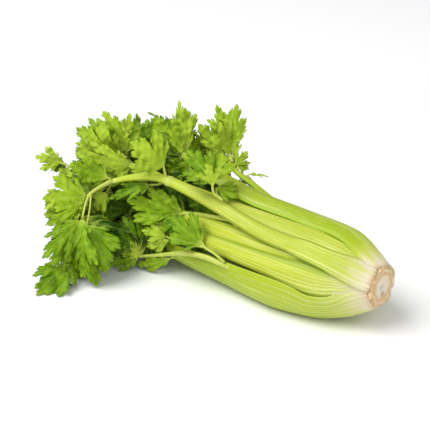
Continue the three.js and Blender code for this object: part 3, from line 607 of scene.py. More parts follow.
def stalk_looks(name, bands, groove, edge, inner, edge_shade_start=(20, 55), edge_shade_reach=0.8):
    """Ribbed celery skin: colour bands from the white base up, paler ribs and darker grooves, and painted
    shade towards its edges, where they curl in under the next stalk.
    """
    look = Looks(name)
    place = look.place()
    distance = look.value("distance")
    ridge = look.value("ridge")
    aside = look.math("ABSOLUTE", look.value("across"))
    along = look.math("MULTIPLY", distance, STRAND_STRETCH)
    strands = look.node("ShaderNodeCombineXYZ", {"X": look.value("fibre"), "Y": along}).outputs[0]
    streak = look.noise(0.9, 3.0, 0.55, strands)
    thread = look.noise(4.0, 3.0, 0.6, strands)
    wander = look.math("ADD", look.wander(look.noise(60.0, 2.0, 0.5, place), 0.025), look.wander(streak, 0.1))
    reach = look.math("ADD", look.math("DIVIDE", distance, STALK_LENGTH), wander)
    skin = look.ramp(reach, bands)
    in_groove, on_ridge = look.clamp_map(ridge, 0.6, 0.0, 0.0, 0.45), look.clamp_map(ridge, 0.45, 1.0)
    skin = look.tint(skin, groove, in_groove, look.clamp_map(distance, 8, 40))
    skin = look.tint(skin, "#e4e892", look.clamp_map(streak, 0.5, 0.75, 0.0, 0.4))
    skin = look.tint(skin, "#e6ea9c", look.clamp_map(thread, 0.5, 0.7, 0.0, 0.25))
    skin = look.tint(skin, "#e6eab0", on_ridge, look.clamp_map(distance, 120, 35, 0.0, 0.45))
    dull = look.clamp_map(streak, 0.5, 0.25, 0.0, 0.5)
    skin = look.tint(skin, groove, dull, look.clamp_map(distance, 10, 40))
    # Painted shade: the skin goes a darker green towards both edges of the stalk, where they curl in, from a
    # little way up from the crown.
    edge_shade = look.clamp_map(aside, edge_shade_reach, 1.0, 0.0, 0.8)
    skin = look.tint(skin, edge, edge_shade, look.clamp_map(distance, *edge_shade_start))
    skin = look.tint(skin, "#e2e69c", look.value("joint"), 0.35)
    skin = look.tint(skin, inner, look.value("inside"), look.clamp_map(distance, 15, 40))
    skin = look.tint(skin, "#cfa06a", look.clamp_map(distance, 7, 1), look.clamp_map(ridge, 0.5, 0.05), 0.7)
    normal = look.bump(look.math("ADD", streak, thread), 0.0005, 0.7)
    return look.finish(look.skin(
        skin, 0.42, normal, Specular_IOR_Level=0.35,
        Subsurface_Weight=0.08, Subsurface_Radius=(0.0015, 0.0018, 0.0005), Subsurface_Scale=1.0,
    ))


def leaf_looks():
    """A leaf blade: pale veins, mottled green, a paler underside, and light through it. Its tone carries
    painted shade and light: low tones are the dark green of leaves in shade.
    """
    look = Looks("leaf_blade")
    place = look.place()
    main_vein, side_vein = look.value("main_vein"), look.value("side_vein")
    mottle = look.noise(110.0, 3.0, 0.6, place)
    # Painted shade and light: the low tones are for leaves deep in the head's shade, the high ones for lit
    # leaves on top.
    green = look.ramp(look.value("tone"), [
        (0.0, "#143002"), (0.12, "#2c5c03"), (0.35, "#628e05"), (0.68, "#90b414"), (1.0, "#b8d03e"),
    ])
    # Each tint: its colour, what it follows, where that starts and is full, and how strong it is.
    for code, value, start, full, strength in (
        ("#a8c62c", mottle, 0.45, 0.7, 0.4),
        ("#4a7c04", mottle, 0.5, 0.3, 0.3),
        ("#b9d148", main_vein, 3.0, 0.4, 0.08),
        ("#c2d75c", side_vein, 0.5, 0.1, 0.18),
        ("#cfdf70", main_vein, 0.55, 0.15, 0.25),
        ("#a9c458", look.value("under"), 0.2, 0.8, 0.35),
        ("#bdd34c", look.value("stem"), 0.2, 1.0, 0.6),
    ):
        green = look.tint(green, code, look.clamp_map(value, start, full, 0.0, strength))
    web = look.node("ShaderNodeTexVoronoi", {"Vector": place, "Scale": 420.0}, feature="DISTANCE_TO_EDGE")
    crease = look.clamp_map(web.outputs["Distance"], 0.0, 0.12, 0.0, 0.5)
    vein = look.clamp_map(main_vein, 0.2, 1.1)
    height = look.math("ADD", look.math("ADD", crease, vein), look.noise(900.0, 2.0, 0.6, place))
    skin = look.skin(green, 0.5, look.bump(height, 0.00025, 0.6), Specular_IOR_Level=0.15)
    glow = look.node("ShaderNodeBsdfTranslucent", {"Color": look.tint(green, "#c8de1e", 0.5)})
    return look.finish(look.node("ShaderNodeMixShader", {0: 0.14, 1: skin, 2: glow.outputs[0]}).outputs[0])


def stem_looks():
    """A leaf stem: yellow green with fine streaks."""
    look = Looks("leaf_stem")
    streak = look.noise(260.0, 3.0, 0.6, look.place())
    green = look.tint(colour("#a9ba3a"), "#c0c95c", look.clamp_map(streak, 0.3, 0.7))
    return look.finish(look.skin(green, 0.4, look.bump(streak, 0.0004, 0.5)))


def crown_looks():
    """The cut core: cream flesh, a brown ring, a paler one round it and a brown ragged rim."""
    look = Looks("cut_crown")
    place = look.place()
    coarse = look.noise(420.0, 3.0, 0.6, place)
    speckle = look.noise(1400.0, 3.0, 0.7, place)
    flesh = look.ramp(look.math("ADD", look.value("ring"), look.wander(coarse, 0.06)), [
        (0.0, "#f2e8d4"), (0.45, "#eee1c8"), (0.58, "#ead6b0"), (0.68, "#e0ba86"), (0.76, "#e8ca9c"),
        (0.84, "#f0e0c4"), (0.92, "#e4c492"), (1.0, "#cc9e62"),
    ])
    outwards = look.clamp_map(look.value("ring"), 0.3, 1.0, 0.2, 0.8)
    flesh = look.tint(flesh, "#b07c40", look.clamp_map(speckle, 0.5, 0.75), outwards)
    flesh = look.tint(flesh, "#a87a38", look.value("spot"), 0.75)
    return look.finish(look.skin(
        flesh, 0.55, look.bump(look.math("ADD", coarse, speckle), 0.0006, 0.7),
        Subsurface_Weight=0.1, Subsurface_Radius=(0.002, 0.0015, 0.001), Subsurface_Scale=1.0,
    ))


# ---- stalks --------------------------------------------------------------------------
ROUND_BASE = (25, 85)  # between these distances a stalk goes from the head's own roundness to its own
RIB_STRENGTHS = (0.25, 1.2)  # how high ribs are, as shares of RIB_DEPTH
RIB_WIDTHS = (0.6, 1.5)  # how wide they are against each other
FEWEST_RIBS = 5
FULL_RIB = 1.6  # ribs narrower than this are shallower too
SHALLOWEST_RIB = 0.1  # as a share of RIB_DEPTH
JOINT_REACH = 2.5  # how far along a stalk a joint swells it
JOINT_WIDENING = 0.07  # as a share of the width
JOINT_LIFT = 0.5
STALK_CLEARANCE = 0.2  # how far above the ground the lowest stalk stays
EDGE_SHARE = 0.3  # thickness at a stalk's edges, as a share of that in its middle
INNER_WIDTH = 0.96  # of its inner side, as a share of the outer one's
EDGE_DIP = 1.5  # how far a stalk's edges sink near the crown, where they run into the next stalk's
EDGE_DIP_ENDS = (14, 45)
FIBRE_STEP = 40  # from one stalk's rib numbers to the next's, so that no two look alike
THICKEST = 1.6  # limit of a stalk's thickness, as a share of its bend


def rib_pattern(count, rng):
    """Places across a stalk, from -1 to 1, and the rib number and rib height at each."""
    steps = count * RIB_STEPS
    phase = np.arange(steps + 1) / RIB_STEPS
    strength = rng.uniform(*RIB_STRENGTHS, count)[np.minimum(phase.astype(int), count - 1)]
    ridge = 0.5 - 0.5 * np.cos(2 * math.pi * phase)
    edges = np.concatenate([[0], np.cumsum(rng.uniform(*RIB_WIDTHS, count))])
    across = np.interp(phase, np.arange(count + 1), edges / edges[-1] * 2 - 1)
    return across, phase, ridge * strength


def stalk_points(rows, joints, seed):
    """The points of a stalk's cross-sections, and the values its material needs."""
    rng = np.random.default_rng(seed)
    rows = np.array(rows, float)
    distance, turn, radius, width = smooth_rows(rows, on_head(*rows[:, :3].T), STALK_STEP).T
    middle = on_head(distance, turn, radius)
    angle = np.radians(turn)
    outward = np.stack([0 * angle, -np.sin(angle), np.cos(angle)], axis=-1)
    _, outward, side = frames_along(middle, outward)
    swell = sum((np.exp(-((distance - j) / JOINT_REACH) ** 2) for j in joints), 0 * distance)
    width = width * (1 + JOINT_WIDENING * swell)
    own_bend = width / np.radians(table_value(WRAP, width))
    bend = own_bend + (radius - own_bend) * (1 - smoothstep(*ROUND_BASE, distance))
    wrap = width / bend

    # The outer side. Its ribs fade at its edges, and those edges dip near the crown.
    ribs = max(int(round(width.max() / RIB_PITCH)), FEWEST_RIBS)
    across, phase, ridge = rib_pattern(ribs, rng)
    depth = RIB_DEPTH * np.clip(width / ribs / FULL_RIB, SHALLOWEST_RIB, 1)
    turns = across[None, :] * wrap[:, None] / 2
    lift = depth[:, None] * ridge[None, :] * (1 - np.abs(across) ** 6)[None, :]
    near_base = smoothstep(0, EDGE_DIP_ENDS[0], distance) * (1 - smoothstep(*EDGE_DIP_ENDS, distance))
    dip = EDGE_DIP * near_base[:, None] * np.abs(across)[None, :] ** 4
    reach = bend[:, None] + lift - dip + JOINT_LIFT * swell[:, None]
    rise = reach * np.cos(turns) - bend[:, None]
    outer = section_places(middle, side, outward, reach * np.sin(turns), rise)

    # The hollow inner side, with a point for each rib, and a point for the rim at either edge.
    back = across[::-RIB_STEPS]
    thick = np.minimum(table_value(WALL, distance), THICKEST * own_bend)
    turns = back[None, :] * wrap[:, None] / 2
    sink = thick[:, None] * (EDGE_SHARE + (1 - EDGE_SHARE) * (1 - back ** 2))[None, :]
    sideways = bend[:, None] * np.sin(turns) * INNER_WIDTH
    inner = section_places(middle, side, outward, sideways, bend[:, None] * (np.cos(turns) - 1) - sink)
    rims = []
    for k, end in ((0, 1), (-1, -1)):
        sideward = side * end * (0.5 * EDGE_SHARE * thick)[:, None]
        rims.append(((inner[:, k] + outer[:, -1 if k == 0 else 0]) / 2 + sideward)[:, None])
    points = np.concatenate([outer, rims[0], inner, rims[1]], axis=1)
    points[..., 2] = settled(points[..., 2], GROUND + STALK_CLEARANCE)

    def every_section(outer_side, rim_0, inner_side, rim_1):
        return np.tile(np.concatenate([outer_side, rim_0, inner_side, rim_1]), (len(distance), 1))

    fibre = phase + FIBRE_STEP * seed
    values = {
        "distance": np.repeat(distance[:, None], points.shape[1], axis=1),
        "joint": np.repeat(swell[:, None], points.shape[1], axis=1),
        "ridge": every_section(ridge, [0.5], 0 * back + 0.5, [0.5]),
        "fibre": every_section(fibre, fibre[-1:], fibre[::-RIB_STEPS], fibre[:1]),
        "across": every_section(across, [1], back, [-1]),
        "inside": every_section(0 * across, [0.5], 0 * back + 1, [0.5]),
    }
    return points, values, len(across), len(back)


def section_places(middle, side, outward, sideways, out):
    """The points that lie that far sideways and out from a stalk's middle line."""
    return middle[:, None, :] + side[:, None, :] * sideways[..., None] + outward[:, None, :] * out[..., None]


def tube_faces(rows, around):
    """Quads round a tube of that many cross-sections."""
    i, j = np.meshgrid(np.arange(rows - 1), np.arange(around), indexing="ij")
    a = i * around + j
    b = i * around + (j + 1) % around
    return np.stack([a, a + around, b + around, b], axis=-1).reshape(-1, 4).tolist()


def closed_tube(rows, around):
    """A tube's faces, with a fan over each end. Its points are followed by one for each end."""
    faces = tube_faces(rows, around)
    last, total = (rows - 1) * around, rows * around
    for j in range(around):
        after = (j + 1) % around
        faces.append([j, after, total])
        faces.append([last + after, last + j, total + 1])
    return faces


def crescent_cap(outer_count, inner_count):
    """Triangles over the end of a stalk, from its outer side's points to its inner ones."""
    faces = []
    last = outer_count - 1
    first_inner = outer_count + 1
    faces.append((last, outer_count, first_inner))
    for k in range(inner_count - 1):
        here = first_inner + k
        for step in range(RIB_STEPS):
            j = last - k * RIB_STEPS - step
            faces.append((j, here, j - 1))
        faces.append((last - (k + 1) * RIB_STEPS, here, here + 1))
    faces.append((0, first_inner + inner_count - 1, first_inner + inner_count))
    return faces


def make_stalk(name, rows, look, seed):
    points, values, outer_count, inner_count = stalk_points(rows, JOINTS.get(name, []), seed)
    rows_count, around = points.shape[:2]
    faces = tube_faces(rows_count, around)
    cap = crescent_cap(outer_count, inner_count)
    far = (rows_count - 1) * around
    faces += cap
    faces += [tuple(far + v for v in f[::-1]) for f in cap]
    flat = {key: numbers.ravel() for key, numbers in values.items()}
    return mesh_piece(name, points.reshape(-1, 3), faces, [look], flat)


# ---- leaves --------------------------------------------------------------------------
# A leaflet is a fan of lobes that spread from its base. In the tables, directions are in
# degrees from its midrib, and reaches are shares of its length, for a leaflet half as wide
# as it is long on either side; other widths stretch the fan sideways.
# Pairs named REACHES are ranges: each reach of that kind is multiplied by one drawn from it.
# Each lobe: [direction of its vein, how far it spreads either way, reach of its tip].
WIDE_FAN = [(-62, 8.5, 0.48), (-36, 15.5, 0.82), (0, 17.5, 1.0), (36, 15.5, 0.82), (62, 8.5, 0.48)]
SMALL_FAN = [(-35, 14.5, 0.8), (0, 15.5, 1.0), (35, 14.5, 0.8)]
SMALL_LENGTH = 27  # in mm: shorter leaflets have the small fan
LOBE_SWAY = 1.2  # how far the direction of a lobe wanders, in degrees
LOBE_REACHES = (0.92, 1.08)
GAP_REACH = 0.38  # how far out the gaps start between lobes with the reach of GAP_LOBE
GAP_LOBE = 0.78
GAP_REACHES = (0.8, 1.15)
FAN_FOOT = 0.05  # reach of the blade's narrow foot
FAN_WAIST = (0.35, 0.26)  # where its lower edge bends: share of a low lobe's spread, and reach

# A lobe's three parts: [direction as a share of the lobe's spread, reach as a share of its tip's].
PARTS = [(-0.62, 0.86), (0, 1.0), (0.62, 0.86)]
PART_SPREAD = 0.38  # either way, as a share of the lobe's spread
PART_REACHES = (0.95, 1.05)
PART_GAP = 0.66  # how far out the gaps between its parts start, as a share of its tip's reach
PART_GAP_ASIDE = 0.32  # how far those gaps are from its vein, as a share of the lobe's spread
PART_GAP_REACHES = (0.88, 1.1)
# A side vein: where it starts, as shares of its part's direction and of the lobe's reach,
# and where it ends, as a share of its part's reach.
SIDE_VEIN = (0.2, 0.45, 0.96)
MAIN_VEIN_END = 0.97  # as a share of the lobe's reach

# A part's edge, from one gap round to the next: [direction as a share of the part's
# spread, reach as a share of its tip's]. It has a tooth on either side of its tip.
TEETH = [
    (-0.9, 0.83), (-1.0, 0.88), (-0.9, 0.925), (-0.7, 0.935), (-0.52, 0.905), (-0.46, 0.95),
    (-0.26, 0.985), (-0.1, 0.975), (0, 1.0), (0.12, 0.99), (0.26, 0.975), (0.44, 0.955),
    (0.52, 0.905), (0.7, 0.935), (0.9, 0.925), (1.0, 0.88), (0.9, 0.83),
]
FEW_TEETH = [
    (-0.9, 0.82), (-0.95, 0.9), (-0.7, 0.94), (-0.45, 0.9), (-0.3, 0.97), (-0.05, 1.0),
    (0.2, 0.985), (0.4, 0.92), (0.6, 0.945), (0.85, 0.92), (0.9, 0.82),
]
FEW_TEETH_REACH = 0.5  # parts that reach less far have the few teeth
TOOTH_SKEW = 0.02  # how far a part's teeth lean to one side or the other

# How a leaflet's points are spread: the spacing of each kind in mm, then shares of it.
SPACING, WIDE_SPACING, COMPANION_SPACING = 1.25, 1.45, 2.0
WIDE_LEAFLET = 24  # mm, the width above which a leaflet has the wide spacing
SHORTEST_EDGE = 0.35  # of its outline, in mm
LONGEST_EDGE = 1.1
ROW_STEP = 0.866  # from one row of inner points to the next
VEIN_TO_RIM, GRID_TO_RIM, GRID_TO_VEIN = 0.3, 0.5, 0.55  # the nearest that points come

# How a leaflet is bent. ARCH, DROOP and FOLD are ranges that each one draws from.
FACE_SCATTER = 0.3  # how far it strays from the way its row says it faces
ARCH = (0.02, 0.16)  # how far its middle stands up, as a share of its length
DROOP = (-0.1, 0.4)  # how far its sides hang, as a share of half its width
FOLD, FOLD_ROUNDING = (0.05, 0.35), 3  # how steeply it rises either side of its midrib
TWIST = 0.35  # radians either way, over its length
PUFF, PUFF_REACH = 0.025, 0.09  # how far it swells between veins, and how near to them
SIDE_GROOVE, SIDE_GROOVE_WIDTH = 0.25, 0.8  # depth and width of its side veins, in mm
WAVE_HEIGHT, WAVE_SPANS = 0.045, (0.9, 0.45)  # its long waves, as shares of its length
RIPPLE_HEIGHT, RIPPLE_SPANS = 0.95, (11, 5)  # its short ones, in mm

COMPANIONS = 3  # smaller leaflets beside each leaflet
COMPANION_FROM = 26  # mm, the length above which a leaflet has them
COMPANION_FOOT = (4, 12)  # how far in to the head they start, in mm
COMPANION_TURN, COMPANION_SCATTER = (0.2, 0.9), 0.25  # how far they turn in to it, and stray
COMPANION_LENGTHS, COMPANION_WIDTHS = (0.6, 0.85), (0.65, 0.9)  # as shares of the leaflet's
# Companions get the darkest tones: painted shade, as they lie inside the head.
COMPANION_SHADE_TONES = (0, 0.2)
COMPANION_STEM = (1.5, 1.2, 0.9)  # thickness along the short stem that each is on
# Sprays without companions: they have a stalk or nothing behind them.
ALONE = ("leaf_over_arch", "leaf_on_stalk", "leaf_shoulder", "leaf_shoulder_small", "leaf_top_right")
HEART_HEIGHT = 58  # where the middle of the leaves is
HEART_BEYOND = 12  # how much further along the head than itself a companion turns to
LEAF_CLEARANCE = 1  # how far above the ground the lowest leaves stay
EDGE_TAPER = 1.5  # how far in from its edge a leaflet gets thicker

# How pale leaves are, from 0 to 1, with painted shade and light in it: sprays inside the head and under the
# arch get dark ranges, as if in shade, and the top ones pale ranges, as if lit; within a range the tone
# differs at random.
# The range for names with each word, of which the first that is in a name holds, and for the rest.
LEAF_TONES_AND_SHADE = {
    "on_stalk": (0.3, 0.45), "over_arch": (0.66, 0.84),
    "inside_low": (0.3, 0.55), "inside": (0.03, 0.25), "top_right": (0.68, 1.0),
    "top_middle_rear": (0.45, 0.85), "top_middle": (0.65, 1.0), "dark": (0.1, 0.35),
    "resting": (0.25, 0.5), "under": (0.3, 0.6), "drooping": (0.35, 0.62), "far_left": (0.9, 1.0),
    "rear": (0.25, 0.6), "far_side": (0.25, 0.8),
}
LIGHT_TONES = (0.42, 1.0)


def fan_point(direction, reach, length, half_width):
    """The place on a flat leaflet at that direction and reach. The fan's rays curve forwards."""
    angle = np.radians(direction)
    x, y = reach * np.cos(angle), reach * np.sin(angle)
    return np.stack([length * (x + 0.22 * y * y), half_width * 2 * y], axis=-1)


def leaflet_plan(length, half_width, rng):
    """A leaflet's outline, and its main and side veins as rows of points."""
    small = length < SMALL_LENGTH
    fan = [
        (direction + rng.normal(0, LOBE_SWAY), spread, reach * rng.uniform(*LOBE_REACHES))
        for direction, spread, reach in (SMALL_FAN if small else WIDE_FAN)
    ]
    outline = [(fan[0][0] - fan[0][1], FAN_FOOT), (fan[0][0] - FAN_WAIST[0] * fan[0][1], FAN_WAIST[1])]
    main, fine = [], []
    for k, (direction, spread, reach) in enumerate(fan):
        main.append([(direction, FAN_FOOT), (direction, reach * MAIN_VEIN_END)])
        for j, (aside, share) in enumerate(PARTS):
            middle, tip = direction + aside * spread, reach * share * rng.uniform(*PART_REACHES)
            part_spread = PART_SPREAD * spread
            if aside:
                start, leaving, end = SIDE_VEIN
                fine.append([(direction + start * aside * spread, leaving * reach), (middle, tip * end)])
            teeth = FEW_TEETH if small or tip < FEW_TEETH_REACH else TEETH
            skew = rng.uniform(-TOOTH_SKEW, TOOTH_SKEW)
            outline += [(middle + a * part_spread, tip * (b + skew * a)) for a, b in teeth]
            if j < len(PARTS) - 1:
                gap_aside = PART_GAP_ASIDE if aside == 0 else -PART_GAP_ASIDE
                gap_reach = reach * PART_GAP * rng.uniform(*PART_GAP_REACHES)
                outline.append((direction + gap_aside * spread, gap_reach))
        if k < len(fan) - 1:
            after = fan[k + 1]
            edge = (direction + spread + after[0] - after[1]) / 2
            outline.append((edge, GAP_REACH * min(reach, after[2]) / GAP_LOBE * rng.uniform(*GAP_REACHES)))
    outline += [(fan[-1][0] + FAN_WAIST[0] * fan[-1][1], FAN_WAIST[1]), (fan[-1][0] + fan[-1][1], FAN_FOOT)]
    places = fan_point(*np.array(outline).T, length, half_width)

    def traced(veins):
        t = np.linspace(0, 1, 9)
        return [
            fan_point(d0 + (d1 - d0) * t, r0 + (r1 - r0) * t, length, half_width)
            for (d0, r0), (d1, r1) in veins
        ]

    return places, traced(main), traced(fine)


def even_out(loop, shortest, longest):
    """The outline without its shortest edges, and with its long ones divided."""
    kept = [loop[0]]
    for point in loop[1:]:
        if np.linalg.norm(point - kept[-1]) >= shortest:
            kept.append(point)
    result = []
    for a, b in zip(kept, kept[1:] + kept[:1]):
        steps = max(int(np.linalg.norm(b - a) / longest), 1)
        result += [a + (b - a) * k / steps for k in range(steps)]
    return np.array(result)


def inside(points, loop):
    """Which points lie inside the outline."""
    ax, ay = loop.T
    bx, by = np.roll(loop, -1, axis=0).T
    x, y = points[:, :1], points[:, 1:]
    spans = (ay > y) != (by > y)
    crossing = ax + (y - ay) * (bx - ax) / np.where(by == ay, 1e-9, by - ay)
    return (np.sum(spans & (x < crossing), axis=1) % 2) == 1


def distance_to(points, others):
    """From each point to the nearest of the others."""
    gaps = points[:, None, :] - others[None, :, :]
    return np.sqrt((gaps ** 2).sum(axis=2).min(axis=1))


def vein_distance(points, veins):
    """From each point to the nearest of the veins, each a row of points."""
    starts = np.concatenate([v[:-1] for v in veins])
    runs = np.concatenate([v[1:] for v in veins]) - starts
    from_start = points[:, None, :] - starts[None]
    t = np.clip((from_start * runs).sum(axis=2) / (runs * runs).sum(axis=1), 0, 1)
    gap = from_start - t[..., None] * runs[None]
    return np.sqrt((gap ** 2).sum(axis=2).min(axis=1))


def flat_leaflet(length, half_width, spacing, rng):
    """A leaflet's flat triangles, its outline's edges and its veins."""
    outline, main, fine = leaflet_plan(length, half_width, rng)
    loop = even_out(outline, SHORTEST_EDGE, spacing * LONGEST_EDGE)
    low, high = loop.min(axis=0), loop.max(axis=0)
    xs = np.arange(low[0], high[0], spacing)
    ys = np.arange(low[1], high[1], spacing * ROW_STEP)
    grid = np.array([(x + (k % 2) * spacing / 2, y) for k, y in enumerate(ys) for x in xs])
    along_veins = []
    for vein in main + fine:
        steps = max(int(np.linalg.norm(vein[-1] - vein[0]) / spacing), 2)
        t = np.linspace(0.04, 0.97, steps) * (len(vein) - 1)
        numbers = np.arange(len(vein))
        along_veins.append(np.stack([np.interp(t, numbers, vein[:, k]) for k in (0, 1)], axis=-1))
    along_veins = np.concatenate(along_veins)
    clear = distance_to(along_veins, loop) > VEIN_TO_RIM * spacing
    along_veins = along_veins[inside(along_veins, loop) & clear]
    grid = grid[inside(grid, loop)]
    grid = grid[distance_to(grid, loop) > GRID_TO_RIM * spacing]
    grid = grid[distance_to(grid, along_veins) > GRID_TO_VEIN * spacing]
    points = np.concatenate([loop, along_veins, grid])
    made = delaunay_2d_cdt([Vector(p) for p in points], [], [list(range(len(loop)))], 1, 1e-4)
    places = np.array([tuple(v) for v in made[0]])
    faces = [list(face) for face in made[2]]
    edges = {edge for face in faces for edge in zip(face, face[1:] + face[:1])}
    rim = [edge for edge in edges if edge[::-1] not in edges]
    return places, faces, sorted(rim), main, fine


def wave(points, rng, longest, shortest, count=4):
    """A smooth random height over flat points, about -1 to 1."""
    height = np.zeros(len(points))
    for _ in range(count):
        turn = rng.uniform(0, 2 * math.pi)
        way = np.array([math.cos(turn), math.sin(turn)]) * 2 * math.pi / rng.uniform(shortest, longest)
        height += np.sin(points @ way + rng.uniform(0, 2 * math.pi))
    return height / math.sqrt(count)


def leaflet_axes(base, tip, facing, turned, rng):
    """A leaflet's length, and its directions: along it, across it and the way it faces."""
    along = tip - base
    length = np.linalg.norm(along)
    along /= length
    face = FACING[facing] + rng.normal(0, FACE_SCATTER, 3)
    face = unit(face - (face @ along) * along)
    turn = math.radians(turned)
    side = np.cross(face, along)
    turned_face = face * math.cos(turn) + side * math.sin(turn)
    return length, along, side * math.cos(turn) - face * math.sin(turn), turned_face


def leaflet_lift(flat, length, half_width, to_main, to_fine, rng):
    """How far each point of a flat leaflet is lifted off its plane."""
    x, y = flat.T
    share = x / length
    apart = np.abs(y) / half_width
    arch, droop, fold = rng.uniform(*ARCH), rng.uniform(*DROOP), rng.uniform(*FOLD)
    lift = arch * length * 4 * share * (1 - share)
    lift += fold * (np.sqrt(y * y + FOLD_ROUNDING ** 2) - FOLD_ROUNDING) - droop * half_width * apart ** 2
    puff = PUFF * length * (1 - np.exp(-to_main / (PUFF_REACH * length)))
    lift += puff - SIDE_GROOVE * np.exp(-(to_fine / SIDE_GROOVE_WIDTH) ** 2)
    longest, shortest = WAVE_SPANS
    waves = WAVE_HEIGHT * length * wave(flat, rng, longest * length, shortest * length)
    lift += waves * smoothstep(0, 0.5, np.hypot(x, y) / length)
    lift += RIPPLE_HEIGHT * wave(flat, rng, *RIPPLE_SPANS, 6) * smoothstep(0.05, 0.6, apart + 0.5 * share)
    return lift


def surface_normals(points, triangles):
    """The surface's direction at each point, from the triangles that meet there."""
    normal = np.zeros_like(points)
    a, b, c = points[triangles.T]
    across = np.cross(b - a, c - a)
    for corner in triangles.T:
        np.add.at(normal, corner, across)
    return unit(normal)


def leaflet_solid(base, tip, width, facing, turned, spacing, tone, rng):
    """A leaflet between its base and tip: points, faces and the values its material needs."""
    length, along, side, face = leaflet_axes(base, tip, facing, turned, rng)
    half_width = width / 2
    flat, faces, rim, main, fine = flat_leaflet(length, half_width, spacing, rng)
    x, y = flat.T
    share = x / length
    to_main, to_fine = vein_distance(flat, main), vein_distance(flat, fine)
    lift = leaflet_lift(flat, length, half_width, to_main, to_fine, rng)
    twist = rng.uniform(-TWIST, TWIST) * (share - 0.3)
    y, lift = y * np.cos(twist) - lift * np.sin(twist), y * np.sin(twist) + lift * np.cos(twist)
    middle = base + x[:, None] * along + y[:, None] * side + lift[:, None] * face
    middle[:, 2] = settled(middle[:, 2], GROUND + LEAF_CLEARANCE)
    normal = surface_normals(middle, np.array(faces))
    edge_gap = distance_to(flat, flat[[e[0] for e in rim]])
    thick = LEAF_EDGE_THICKNESS + (LEAF_THICKNESS - LEAF_EDGE_THICKNESS) * smoothstep(0, EDGE_TAPER, edge_gap)
    points = np.concatenate([middle + normal * thick[:, None] / 2, middle - normal * thick[:, None] / 2])
    count = len(flat)
    solid = faces + [[count + v for v in f[::-1]] for f in faces]
    solid += [[b, a, count + a, count + b] for a, b in rim]
    values = {
        "main_vein": np.tile(to_main, 2),
        "side_vein": np.tile(to_fine, 2),
        "under": np.repeat([0.0, 1.0], count),
        "tone": np.full(2 * count, tone),
        "stem": np.tile(np.clip(1 - share * 5, 0, 1), 2),
    }
    return points, solid, values


STEM_SIDES = 10
STEM_STEP = 2.0  # between cross-sections of a stem
STEM_GROOVE = 0.12  # depth of its grooves, as a share of its radius


def stem_solid(rows, tone):
    """A round stem along rows of [x, y, z, thickness], with its values."""
    rows = np.array(rows, float)
    smooth = smooth_rows(rows, rows[:, :3], STEM_STEP)
    middle = smooth[:, :3]
    _, outward, side = frames_along(middle, np.tile(STEM_UP, (len(middle), 1)))
    angle = -np.arange(STEM_SIDES) * 2 * math.pi / STEM_SIDES
    radius = smooth[:, 3:] / 2 * (1 - STEM_GROOVE * np.cos(angle) ** 8)[None, :]
    rings = middle[:, None] + side[:, None] * (radius * np.cos(angle))[..., None]
    rings = rings + outward[:, None] * (radius * np.sin(angle))[..., None]
    count = len(middle)
    points = np.concatenate([rings.reshape(-1, 3), middle[:1], middle[-1:]])
    faces = closed_tube(count, STEM_SIDES)
    total = len(points)
    values = {key: np.zeros(total) for key in ("main_vein", "side_vein", "under")}
    values.update(tone=np.full(total, tone), stem=np.ones(total))
    return points, faces, values


BLADE_INDEX, STEM_INDEX = 0, 1  # a spray's two materials


def companions(base, tip, width, count, rng):
    """Smaller leaflets from beside a leaflet's base, turned in to the head: base, tip and width."""
    length = np.linalg.norm(tip - base)
    inward = unit(np.array([base[0] - HEART_BEYOND, 0, HEART_HEIGHT]) - base)
    made = []
    for _ in range(count if length > COMPANION_FROM else 0):
        way = (tip - base) / length + inward * rng.uniform(*COMPANION_TURN)
        way = unit(way + rng.normal(0, COMPANION_SCATTER, 3))
        foot = base + inward * rng.uniform(*COMPANION_FOOT)
        end = foot + way * length * rng.uniform(*COMPANION_LENGTHS)
        made.append((foot, end, width * rng.uniform(*COMPANION_WIDTHS)))
    return made


def companion_stem(base, foot, end):
    """The rows of a companion's stem: from beside a leaflet's base, by its own foot and a little on."""
    places = (base + 0.05 * (foot - base), foot, foot + 0.08 * (end - foot))
    return [[*place, thickness] for place, thickness in zip(places, COMPANION_STEM)]


def leaflet_row(base, tip, width, turned=0, facing="near"):
    """A leaflet's base, tip and width, and its pose: the way it faces and how it is turned."""
    return np.array(base, float), np.array(tip, float), width, (facing, turned)


def spray_solids(name, stems, leaflets, rng):
    """The stems and leaflets of a spray, each with the index of its material."""
    # The tone ranges paint shade onto the inner leaves and light onto the top ones.
    tones = next((span for word, span in LEAF_TONES_AND_SHADE.items() if word in name), LIGHT_TONES)
    count = 0 if name in ALONE else COMPANIONS
    solids = [(stem_solid(rows, rng.uniform(0, 1)), STEM_INDEX) for rows in stems]
    for row in leaflets:
        base, tip, width, pose = leaflet_row(*row)
        spacing = WIDE_SPACING if width > WIDE_LEAFLET else SPACING
        leaflet = leaflet_solid(base, tip, width, *pose, spacing, rng.uniform(*tones), rng)
        solids.append((leaflet, BLADE_INDEX))
        for foot, end, breadth in companions(base, tip, width, count, rng):
            # Painted shade: a companion is given one of the darkest tones.
            tone = rng.uniform(*COMPANION_SHADE_TONES)
            solids.append((stem_solid(companion_stem(base, foot, end), tone), STEM_INDEX))
            leaflet = leaflet_solid(foot, end, breadth, *pose, COMPANION_SPACING, tone, rng)
            solids.append((leaflet, BLADE_INDEX))
    return solids


def make_spray(name, stems, leaflets, looks, seed):
    """A leaf spray: its stems and leaflets as one piece."""
    solids = spray_solids(name, stems, leaflets, np.random.default_rng(seed))
    points, faces, indices = [], [], []
    values = {key: [] for key in solids[0][0][2]}
    total = 0
    for (places, sides, numbers), index in solids:
        points.append(places)
        faces += [[total + v for v in face] for face in sides]
        indices += [index] * len(sides)
        total += len(places)
        for key in values:
            values[key].append(numbers[key])
    values = {key: np.concatenate(parts) for key, parts in values.items()}
    return mesh_piece(name, np.concatenate(points), faces, looks, values, indices)


# ---- the cut crown -------------------------------------------------------------------
CROWN_STEPS = 300  # points round the crown
CROWN_LOBES = 0.5  # how far its rim wanders in and out over its longer waves, in mm
CROWN_CRUMBS = 0.45  # how far the crumbs of its rim stand up, in mm
CROWN_DEPTH = 14  # how far the core goes in under the stalks

